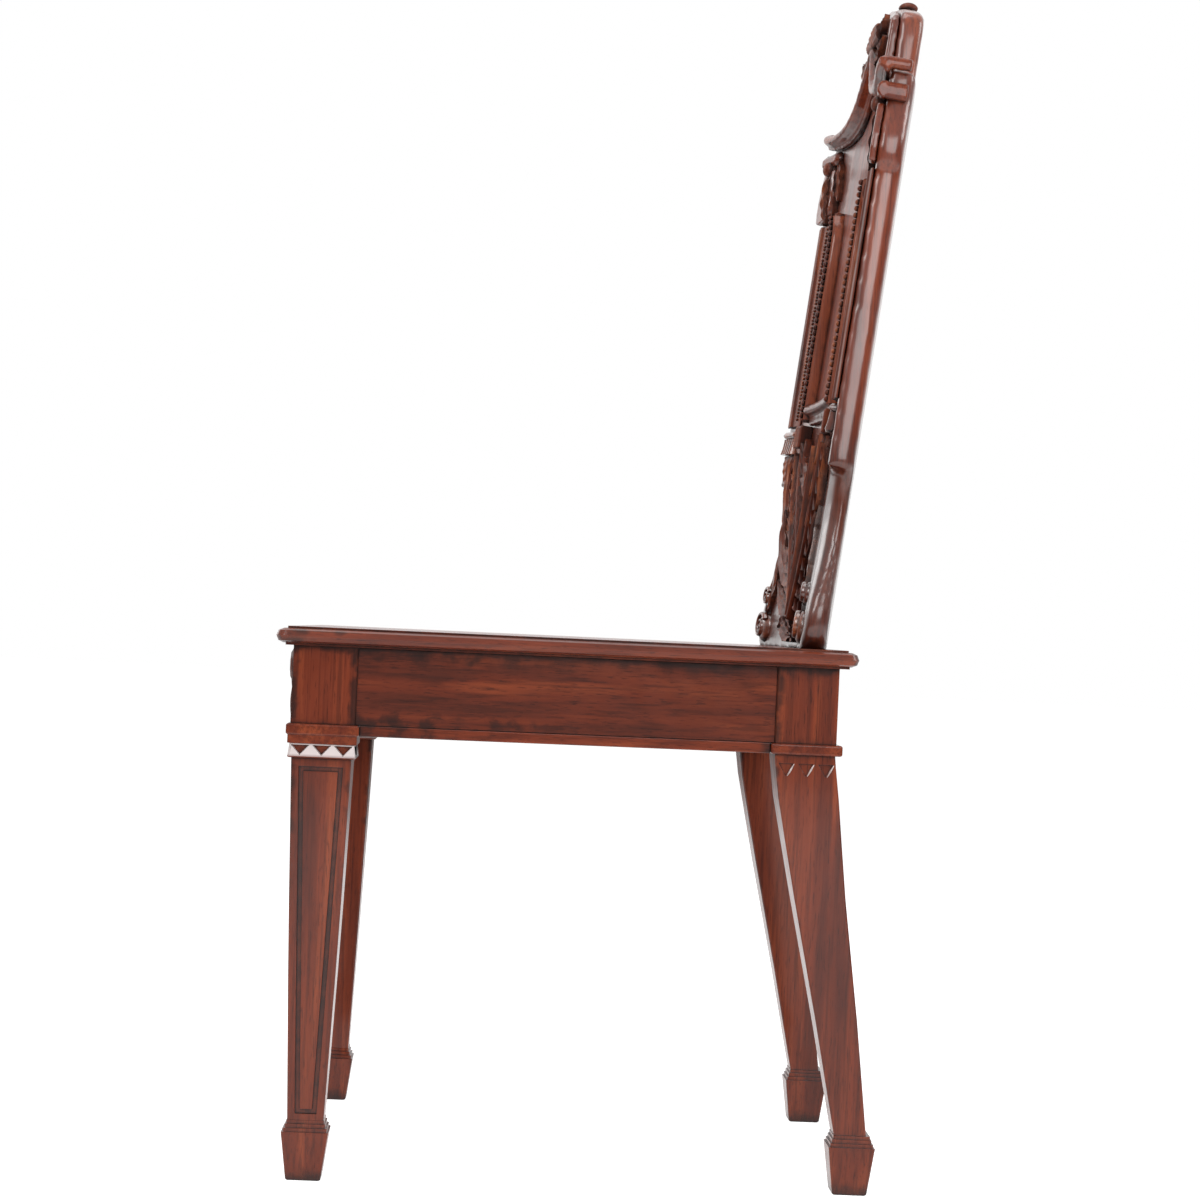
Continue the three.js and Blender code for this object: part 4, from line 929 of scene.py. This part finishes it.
@dataclass
class Legs:
    """The four legs, their collars and the carved paterae on the front posts."""

    lappet_height: float = 0.0123
    collar_recess: float = 0.006
    zigzag_foot: float = 0.3602
    zigzag_top: float = 0.3708
    zigzag_margin: float = 0.003
    zigzag_start: float = 0.1916
    zigzag_pitch: float = 0.0172
    zigzag_lean: float = 0.0056
    zigzag_ridges: int = 3
    zigzag_steps: int = 8
    ridge: float = 0.0009
    ridge_section: tuple[Point, ...] = (
        (-1, -0.7), (-1, 0), (-0.6, 0.5), (0, 0.7), (0.6, 0.5), (1, 0), (1, -0.7),
    )

    def zigzag(self, side: Side, finish: Material) -> None:
        """Carves the ridges of the zigzag under a rear collar, pale with a painted highlight.

        Args:
            side: The side of the chair.
            finish: Their material.
        """
        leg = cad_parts[f"{side}_rear_leg"]
        spots = [leg.matrix_world @ vertex.co for vertex in leg.data.vertices]
        low, high = self.zigzag_foot - self.zigzag_margin, self.zigzag_top + self.zigzag_margin
        face = max(p.x * side.value for p in spots if low < p.z < high)
        ridges = Carving(f"{side}_zigzag_ridges", BoardSpace())
        for i in range(self.zigzag_ridges):
            start = seat_middle() + self.zigzag_start + self.zigzag_pitch * i
            rings = []
            for k in range(self.zigzag_steps + 1):
                share = k / self.zigzag_steps
                swell = self.ridge * math.sin(math.pi * (0.1 + 0.8 * share))
                y = start + self.zigzag_lean * share
                z = self.zigzag_foot + (self.zigzag_top - self.zigzag_foot) * share
                rings.append([
                    Vector((side.value * (face + out * swell), y + across * swell, z))
                    for across, out in self.ridge_section
                ])
            ridges.loft(rings)
        ridges.build(finish, "wood")

    def collar(self, node: str) -> Material:
        """Gives the finish of a collar, with a highlight painted on the upward faces of a front
        one's lappets.

        Args:
            node: The name of the collar.

        Returns:
            The material.
        """
        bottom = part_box(node)[0][2]
        painted_highlight = (bottom, bottom + self.lappet_height) if "front" in node else None
        finish = wood(f"{node}_mahogany", Grain.ACROSS)
        return replace(finish, recess_width=self.collar_recess, painted_highlight=painted_highlight).material()

    def dress(self) -> None:
        """Gives each piece its finish."""
        for side in Side:
            for end in ("front", "rear"):
                leg = f"{side}_{end}_leg"
                dress_edged(leg, wood(f"{leg}_mahogany", Grain.UPRIGHT))
                dress(f"{side}_{end}_collar", self.collar(f"{side}_{end}_collar"))
            dress(f"{side}_rosette", CARVED.material())
        # The zigzag ridges take a pale copy of the wood as a painted highlight.
        painted_highlight = WoodFinish(
            "painted_highlight_mahogany",
            PAINTED_HIGHLIGHT,
            linear(202, 184, 178),
            linear(160, 128, 118),
            Grain.UPRIGHT,
            Polish.GLOSSED,
            recess_strength=0.0,
        ).material()
        for side in Side:
            self.zigzag(side, painted_highlight)


@dataclass
class CarvedBack:
    """The dished board with all that is carved on its face."""

    space: BoardSpace = field(default_factory=BoardSpace)
    pearl: float = 0.0027
    pearl_pitch: float = 0.0062
    pearl_out: float = 0.0118
    seed: float = 0.0014
    seed_pitch: float = 0.0034
    seed_out: float = 0.0036
    border: tuple[Point, ...] = (
        (0.1, 0.2195), (0.1, 0.26), (0.1, 0.3), (0.0992, 0.345), (0.0992, 0.385),
        (0.1024, 0.4064), (0.1105, 0.4205),
    )
    bands: tuple[Point, ...] = ((-0.0062, 0.0112), (0.0062, 0.0104))
    band_width: float = 0.0046
    frame_edge: tuple[Point, ...] = (
        (0.1555, 0.222), (0.1555, 0.28), (0.1555, 0.35), (0.1555, 0.416),
    )
    palm_stem: tuple[Point, ...] = (
        (0.004, 0.026), (0.034, 0.062), (0.067, 0.104), (0.091, 0.144), (0.106, 0.184),
    )
    palm_pairs: int = 11
    palm_steps: int = 60
    leaflet_outer: float = 0.058
    leaflet_inner: float = 0.044
    foliage_height: float = 0.0095
    flutes: int = 5
    flute_start: float = 0.1565
    flute_pitch: float = 0.0072
    bun_swell: float = 0.16
    bun_foot: float = 0.95
    shell_ribs: int = 9
    shell_out: float = 0.008
    stem_leaves: int = 5

    def dress(self) -> None:
        """Gives the board and its mouldings their finishes."""
        board = wood("board_mahogany", Grain.UPRIGHT, Polish.BURNISHED)
        board = replace(board, recess_strength=0.4, shaded=(0.62, 0.69))
        dress("back_board", board.material(), soften=0.0026, passes=14)
        dress("shield_panel", WoodFinish(
            "panel_mahogany",
            linear(156, 74, 44),
            linear(124, 52, 31),
            linear(88, 34, 22),
            Grain.UPRIGHT,
            Polish.FRENCH,
        ).material())
        plain = board.material()
        across = wood("moulding_mahogany", Grain.ACROSS).material()
        carved = CARVED.material()
        dress("crest_rail", plain, soften=0.0014, passes=3)
        self.finial(carved)
        dress("sill_moulding", across, soften=0.001)
        for node in ("crest_shell", "centre_stem"):
            paint(node, carved)
        for side in Side:
            dress(f"{side}_cornice", across, soften=0.0013, passes=7)
            dress(f"{side}_ear_roll", across, soften=0.0009, passes=10)
            dress(f"{side}_ear_bracket", plain, soften=0.0012, passes=3)
            for name in ("palm", "foot_scroll", "ear_leaf", "console", "drop"):
                paint(f"{side}_{name}", carved)
            for name in ("frame_moulding", "bead_border", "pilaster"):
                dress(f"{side}_{name}", carved)

    def pearls(
        self,
        name: str,
        points: Sequence[Point],
        out: float,
        radius: float,
        pitch: float,
        finish: Material,
    ) -> None:
        """Sets a row of pearls along a line on the board.

        Args:
            name: The name of the piece.
            points: The line, across and up.
            out: How far out of the board's face their middles lie.
            radius: The radius of a pearl.
            pitch: The distance from one to the next.
            finish: Their material.
        """
        bpy.ops.object.select_all(action="DESELECT")
        bpy.ops.mesh.primitive_uv_sphere_add(segments=10, ring_count=6, radius=radius)
        seed = bpy.context.object
        pattern = [v.co.copy() for v in seed.data.vertices]
        faces = [list(p.vertices) for p in seed.data.polygons]
        bpy.data.objects.remove(seed, do_unlink=True)
        row = Carving(name, self.space)
        line = spline(points, 200)
        travelled, next_at = 0.0, pitch / 2
        for a, b in zip(line, line[1:]):
            travelled += (b - a).length
            if travelled < next_at:
                continue
            next_at += pitch
            middle = self.space.point(b.x, b.y, self.space.face + out)
            start = len(row.vertices)
            row.vertices.extend(middle + v for v in pattern)
            row.faces.extend([i + start for i in face] for face in faces)
        row.build(finish, "carved_wood")

    def borders(self, side: Side, finish: Material) -> None:
        """Sets the pearls beside the panel, between their two bands, and those of the frame.

        Args:
            side: The side of the chair.
            finish: The pearls' material.
        """
        border = both(self.border, side)
        self.pearls(
            f"{side}_border_pearls", border, self.pearl_out, self.pearl, self.pearl_pitch, finish
        )
        bands = Carving(f"{side}_border_bands", self.space)
        for shift, height in self.bands:
            line = [(x + shift, up) for x, up in self.border]
            bands.blade(
                both(line, side), self.band_width, height, round_rib, even_outline,
                steps=40, across=6,
            )
        bands.build(WoodFinish(
            "border_mahogany",
            RAIL_LIGHT,
            linear(150, 72, 40),
            RAIL_MIDDLE,
            Grain.UPRIGHT,
            Polish.FRENCH,
            recess_width=0.004,
        ).material(), "carved_wood")
        edge = both(self.frame_edge, side)
        self.pearls(
            f"{side}_frame_pearls", edge, self.seed_out, self.seed, self.seed_pitch, finish
        )

    def palm(self, side: Side, finish: Material) -> None:
        """Carves a palm branch that crosses the other at its foot.

        Args:
            side: The side of the chair.
            finish: Its material.
        """
        branch = Carving(f"{side}_palm_branch", self.space)
        branch.blade(
            both(self.palm_stem, side), 0.009, 0.0115, round_rib, band_outline, steps=24
        )
        line = spline(self.palm_stem, self.palm_steps)
        for i in range(self.palm_pairs):
            share = 0.08 + 0.86 * i / self.palm_pairs
            k = int(share * self.palm_steps)
            root = line[k]
            along = (line[min(k + 1, self.palm_steps)] - line[k - 1]).normalized()
            for turn, full in ((-1, self.leaflet_inner), (1, self.leaflet_outer)):
                length = full * (1 - 0.42 * share)
                angle = turn * math.radians(50 - 16 * share)
                out = Vector((
                    along.x * math.cos(angle) - along.y * math.sin(angle),
                    along.x * math.sin(angle) + along.y * math.cos(angle),
                ))
                middle = root + out * length * 0.5
                tip = middle + (out + along * 0.7).normalized() * length * 0.5
                points = [tuple(p) for p in (root, middle, tip)]
                branch.blade(
                    both(points, side), 0.0105, 0.0098, fold, leaf_outline,
                    lift=0.0015, steps=10, across=6,
                )
        branch.build(finish, "carved_wood", f"{side}_palm")

    def foliage(self, side: Side, finish: Material) -> None:
        """Carves the acanthus that fills the field round the palms.

        Args:
            side: The side of the chair.
            finish: Its material.
        """
        leaves = Carving(f"{side}_foliage", self.space)
        for points, width in (
            ([(0.02, 0.016), (0.05, 0.034), (0.082, 0.044), (0.112, 0.062)], 0.026),
            ([(0.012, 0.06), (0.018, 0.1), (0.034, 0.14), (0.03, 0.18)], 0.026),
            ([(0.05, 0.06), (0.09, 0.072), (0.12, 0.1), (0.13, 0.132)], 0.03),
            ([(0.1, 0.1), (0.128, 0.13), (0.136, 0.165), (0.124, 0.188)], 0.026),
            ([(0.01, 0.01), (0.035, 0.012), (0.06, 0.02), (0.078, 0.016)], 0.018),
            ([(0.052, 0.13), (0.06, 0.16), (0.078, 0.176), (0.084, 0.2)], 0.024),
        ):
            leaves.blade(
                both(points, side), width, self.foliage_height, acanthus, lobed_outline,
                lift=0.002, steps=30, across=10,
            )
        leaves.build(finish, "carved_wood")

    def ear(self, side: Side, finish: Material) -> None:
        """Carves the curled acanthus under the cornice, with its ball.

        Args:
            side: The side of the chair.
            finish: Its material.
        """
        leaves = Carving(f"{side}_ear_acanthus", self.space)
        high = self.space.face - 0.001
        leaves.blade(
            both([(0.166, 0.477), (0.1735, 0.477), (0.181, 0.477)], side), 0.0155, 0.0125,
            dome, round_outline, base=self.space.face + 0.0005, steps=18, across=12,
        )
        for points, width, height, base in (
            (
                [(0.182, 0.472), (0.1835, 0.455), (0.181, 0.438), (0.175, 0.421)],
                0.012, 0.0092, high,
            ),
            ([(0.172, 0.478), (0.173, 0.458), (0.167, 0.438), (0.16, 0.421)], 0.02, 0.0125, None),
            ([(0.165, 0.479), (0.158, 0.46), (0.15, 0.443), (0.143, 0.428)], 0.019, 0.0095, None),
            ([(0.161, 0.483), (0.147, 0.472), (0.139, 0.455), (0.134, 0.441)], 0.018, 0.0075, None),
        ):
            leaves.blade(
                both(points, side), width, height, acanthus, lobed_outline,
                base=base, steps=30, across=10,
            )
        leaves.build(finish, "carved_wood", f"{side}_ear_leaf")

    def foot(self, side: Side, finish: Material) -> None:
        """Carves the scroll at the foot of the board's edge.

        Args:
            side: The side of the chair.
            finish: Its material.
        """
        scroll = Carving(f"{side}_foot_volute", self.space)
        edge = [
            (0.1525, 0.15), (0.1442, 0.132), (0.1404, 0.107), (0.1434, 0.083), (0.151, 0.064),
            (0.158, 0.053), (0.163, 0.046),
        ]
        scroll.blade(
            both(edge, side), 0.011, 0.0125, round_rib, even_outline, base=0.0075, steps=50
        )
        for across, up, reach, low, high in (
            (0.161, 0.0166, 0.0158, 0.015, 0.0152),
            (0.159, 0.0462, 0.0115, 0.0145, 0.0142),
        ):
            scroll.blade(
                both([(across - reach, up), (across, up), (across + reach, up)], side),
                reach * 2, high, dome, round_outline, base=low, steps=20, across=14,
            )
            spiral = []
            for i in range(22):
                angle = math.radians(150 - i * 30)
                turn = (reach - 0.0022) * (1 - i / 24)
                spiral.append((across + turn * math.cos(angle), up + turn * math.sin(angle)))
            scroll.blade(
                both(spiral, side), 0.0042, high * 0.3, round_rib, band_outline,
                base=low + high * 0.78, steps=110, across=6,
            )
        leaf = [
            (0.158, 0.03), (0.15, 0.045), (0.14, 0.06), (0.131, 0.085), (0.132, 0.115),
            (0.142, 0.148),
        ]
        scroll.blade(
            both(leaf, side), 0.018, 0.0065, acanthus, lobed_outline, steps=40, across=10
        )
        scroll.build(finish, "carved_wood", f"{side}_foot_scroll")

    def console(self, side: Side, finish: Material) -> None:
        """Carves the fluted console under the frame and the scalloped leaf that hangs from it.

        Args:
            side: The side of the chair.
            finish: The console's material.
        """
        console = Carving(f"{side}_fluted_console", self.space)
        base = self.space.face
        console.blade(
            both([(0.152, 0.2085), (0.17, 0.2085), (0.188, 0.2085)], side), 0.0086, 0.0062,
            round_rib, lambda along: min(1.0, 0.35 + 14 * min(along, 1 - along)),
            base=base, steps=30,
        )
        for i in range(self.flutes):
            across = self.flute_start + self.flute_pitch * i
            line = [(across, 0.2045), (across - 0.0004, 0.197), (across - 0.0012, 0.189)]
            console.blade(
                both(line, side), 0.0052, 0.0062, round_rib, even_outline,
                base=base - 0.001, lift=0.0022, steps=10,
            )
        console.build(finish, "carved_wood", f"{side}_console")
        drop = Carving(f"{side}_scalloped_drop", self.space)
        drop.blade(
            both([(0.1715, 0.1885), (0.171, 0.175), (0.1685, 0.159)], side), 0.031, 0.0068,
            acanthus,
            lambda along: (1.0 - 0.62 * along**1.6)
            * (0.88 + 0.12 * abs(math.sin(4 * math.pi * along))),
            base=base - 0.002, steps=36, across=14,
        )
        drop.build(CARVED.material(), "carved_wood", f"{side}_drop")

    def finial(self, finish: Material) -> None:
        """Turns the bun that stands on the crest.

        Args:
            finish: Its material.
        """
        paint("crest_finial", finish)
        low, high = (Vector(corner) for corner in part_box("crest_finial"))
        bpy.ops.object.select_all(action="DESELECT")
        bpy.ops.mesh.primitive_uv_sphere_add(segments=32, ring_count=20, radius=0.5)
        bun = bpy.context.object
        bun.name = "crest_bun"
        size, middle = high - low, (low + high) / 2
        for vertex in bun.data.vertices:
            across, deep, up = vertex.co
            swell = 1.0 + self.bun_swell * (0.5 - abs(up))
            up = up if up > 0 else up * self.bun_foot
            vertex.co = Vector((
                middle.x + across * size.x * swell,
                middle.y + deep * size.y * swell,
                middle.z + up * size.z,
            ))
        finish_piece(bun, finish, "carved_wood", "crest_finial")

    def crest(self, finish: Material) -> None:
        """Carves the shell and its leaves on the crest.

        Args:
            finish: Its material.
        """
        shell = Carving("crest_carving", self.space)
        base = self.space.face + self.shell_out
        root = Vector((0.0, 0.566))
        for i in range(self.shell_ribs):
            share = i / (self.shell_ribs - 1)
            angle = math.pi * (0.06 + 0.88 * i / (self.shell_ribs - 1))
            length = 0.034 - 0.011 * math.sin(math.pi * share)
            out = Vector((math.cos(angle), math.sin(angle) * 0.8))
            points = [tuple(root + out * length * s) for s in (0.0, 0.5, 1.0)]
            shell.blade(
                points, 0.013, 0.009, round_rib, lambda along: 0.35 + 0.65 * along,
                base=base, steps=10, across=6,
            )
        for side in (Side.RIGHT, Side.LEFT):
            for points, width in (
                ([(0.006, 0.563), (0.028, 0.553), (0.05, 0.552), (0.068, 0.562)], 0.018),
                ([(0.016, 0.57), (0.034, 0.572), (0.046, 0.578), (0.05, 0.586)], 0.014),
            ):
                shell.blade(
                    both(points, side), width, 0.0085, acanthus, lobed_outline,
                    base=base, steps=24, across=10,
                )
        shell.build(finish, "carved_wood", "crest_shell")

    def bulrush(self, finish: Material) -> None:
        """Carves the stem between the palms.

        Args:
            finish: Its material.
        """
        stem = Carving("centre_bulrush", self.space)
        stem.blade(
            [(0, 0.028), (0, 0.11), (0, 0.188)], 0.011, 0.0125, round_rib,
            lambda along: 0.45 + 0.2 * along, steps=20,
        )
        for i in range(self.stem_leaves):
            up = 0.05 + 0.03 * i
            for side in (Side.RIGHT, Side.LEFT):
                points = [(0.001, up), (0.009, up + 0.012), (0.012, up + 0.03)]
                stem.blade(
                    both(points, side), 0.009, 0.0095, fold, leaf_outline, steps=10, across=6
                )
        stem.build(finish, "carved_wood", "centre_stem")

    def build(self) -> None:
        """Carves every part of the back."""
        finish = CARVED.material()
        glossed = replace(CARVED, name="glossed_mahogany", polish=Polish.GLOSSED).material()
        for side in Side:
            self.borders(side, finish)
            self.palm(side, finish)
            self.foliage(side, finish)
            self.ear(side, finish)
            self.foot(side, glossed)
            self.console(side, glossed)
        self.crest(finish)
        self.bulrush(finish)


@dataclass(frozen=True)
class SoftBox:
    """A square soft lamp that faces the chair: where it hangs, its width and its watts."""

    name: str
    place: tuple[float, float, float]
    size: float
    power: float

    def hang(self) -> None:
        """Hangs the lamp."""
        light = bpy.data.lights.new(self.name, "AREA")
        light.shape = "SQUARE"
        light.size = self.size
        light.energy = self.power
        lamp = bpy.data.objects.new(self.name, light)
        bpy.context.scene.collection.objects.link(lamp)
        spot = Vector(self.place)
        lamp.location = spot
        lamp.rotation_euler = (Vector((0, 0, 0.5)) - spot).to_track_quat("-Z", "Y").to_euler()


@dataclass
class Studio:
    """A white floor and backdrop, soft lamps and the camera at the photograph's place."""

    camera_place: tuple[float, float, float] = (2.54966, -0.06613, 0.48169)
    yaw: float = 0.038167
    pitch: float = -0.009454
    roll: float = 0.045534
    lens: float = 82.254
    floor_size: float = 40.0
    floor_colour: float = 0.86
    floor_roughness: float = 0.9
    floor_seen: float = 0.88
    floor_fade: tuple[float, float] = (2.2, 4.5)
    floor_gloss: float = 0.65
    wall_span: tuple[float, float] = (0.15, -0.45)
    wall_gloss: float = 1.0
    room_gloss: float = 0.06
    ceiling_span: tuple[float, float] = (0.05, 0.24)
    ceiling_gloss: float = 0.9
    room_light: float = 0.22
    lamps: tuple[SoftBox, ...] = (
        SoftBox("key_lamp", (2.6, -1.6, 2.2), 1.3, 42),
        SoftBox("side_lamp", (2.8, 0.8, 1.15), 1.1, 22),
        SoftBox("fill_lamp", (-2.2, -2.0, 1.8), 1.6, 20),
        SoftBox("rear_lamp", (0.6, 2.6, 1.9), 1.2, 26),
        SoftBox("top_lamp", (0.2, -0.2, 3.4), 1.6, 26),
    )

    def floor(self) -> None:
        """Lays the floor."""
        bpy.ops.object.select_all(action="DESELECT")
        bpy.ops.mesh.primitive_plane_add(size=self.floor_size, location=(0, 0, 0))
        floor = bpy.context.object
        floor.name = "studio_floor"
        shader = Shader("floor_paint")
        shader.surface.inputs["Base Color"].default_value = (*[self.floor_colour] * 3, 1.0)
        shader.set(Roughness=self.floor_roughness, Specular_IOR_Level=0.0)
        path = shader.node("ShaderNodeLightPath")
        shader.surface.inputs["Emission Color"].default_value = WHITE
        seen = shader.sum("MULTIPLY", path.outputs["Is Camera Ray"], self.floor_seen)
        reach = shader.node("ShaderNodeVectorMath", operation="LENGTH")
        shader.join(shader.place(), reach.inputs[0])
        near = shader.span(reach.outputs["Value"], *self.floor_fade, self.floor_gloss, 0.0)
        mirrored = shader.sum("MULTIPLY", path.outputs["Is Glossy Ray"], near)
        strength = shader.sum("MAXIMUM", seen, mirrored)
        shader.join(strength, shader.surface.inputs["Emission Strength"])
        floor.data.materials.append(shader.material)

    def world(self) -> None:
        """Surrounds the chair with soft light in front of a white backdrop."""
        world = bpy.data.worlds.new("studio_world")
        bpy.context.scene.world = world
        world.use_nodes = True
        sky = Nodes(world.node_tree)
        path = sky.node("ShaderNodeLightPath").outputs
        place = sky.apart(sky.node("ShaderNodeTexCoord").outputs["Generated"])
        behind = sky.span(place[0], *self.wall_span, self.room_gloss, self.wall_gloss, "LINEAR")
        above = sky.span(place[2], *self.ceiling_span, 0.0, self.ceiling_gloss, "LINEAR")
        seen = sky.sum("MAXIMUM", path["Is Camera Ray"], path["Is Transmission Ray"])
        room = sky.sum("MAXIMUM", behind, above)
        mirrored = sky.sum("MULTIPLY", path["Is Glossy Ray"], room)
        soft = sky.sum("MULTIPLY", path["Is Diffuse Ray"], self.room_light)
        light = sky.node("ShaderNodeBackground")
        light.inputs["Color"].default_value = WHITE
        strength = sky.sum("MAXIMUM", seen, sky.sum("MAXIMUM", mirrored, soft))
        sky.join(strength, light.inputs["Strength"])
        sky.join(light.outputs[0], sky.node("ShaderNodeOutputWorld").inputs[0])

    def camera(self) -> None:
        """Sets the camera at the photograph's place and angle."""
        forward = Vector((-math.cos(self.yaw), math.sin(self.yaw), 0))
        right = Vector((math.sin(self.yaw), math.cos(self.yaw), 0))
        up = Vector((0, 0, 1))
        forward, up = (
            forward * math.cos(self.pitch) - up * math.sin(self.pitch),
            up * math.cos(self.pitch) + forward * math.sin(self.pitch),
        )
        right, up = (
            right * math.cos(self.roll) + up * math.sin(self.roll),
            up * math.cos(self.roll) - right * math.sin(self.roll),
        )
        place = Vector(self.camera_place) + Vector((0, seat_middle(), 0))
        data = bpy.data.cameras.new("photo_camera")
        data.sensor_width = 36.0
        data.lens = self.lens
        data.clip_end = 100.0
        camera = bpy.data.objects.new("photo_camera", data)
        bpy.context.scene.collection.objects.link(camera)
        turn = Matrix((right, up, -forward)).transposed()
        camera.matrix_world = Matrix.Translation(place) @ turn.to_4x4()
        bpy.context.scene.camera = camera

    def build(self) -> None:
        """Sets up the whole studio."""
        self.floor()
        self.world()
        for lamp in self.lamps:
            lamp.hang()
        self.camera()
        bpy.context.scene.view_settings.view_transform = "Standard"


def main() -> None:
    """Dresses the frame, carves the back and sets up the studio."""
    logging.basicConfig(level=logging.INFO, format="%(message)s")
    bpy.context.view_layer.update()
    SeatFrame().dress()
    Legs().dress()
    back = CarvedBack()
    back.dress()
    back.build()
    Studio().build()


if __name__ == "__main__":
    main()
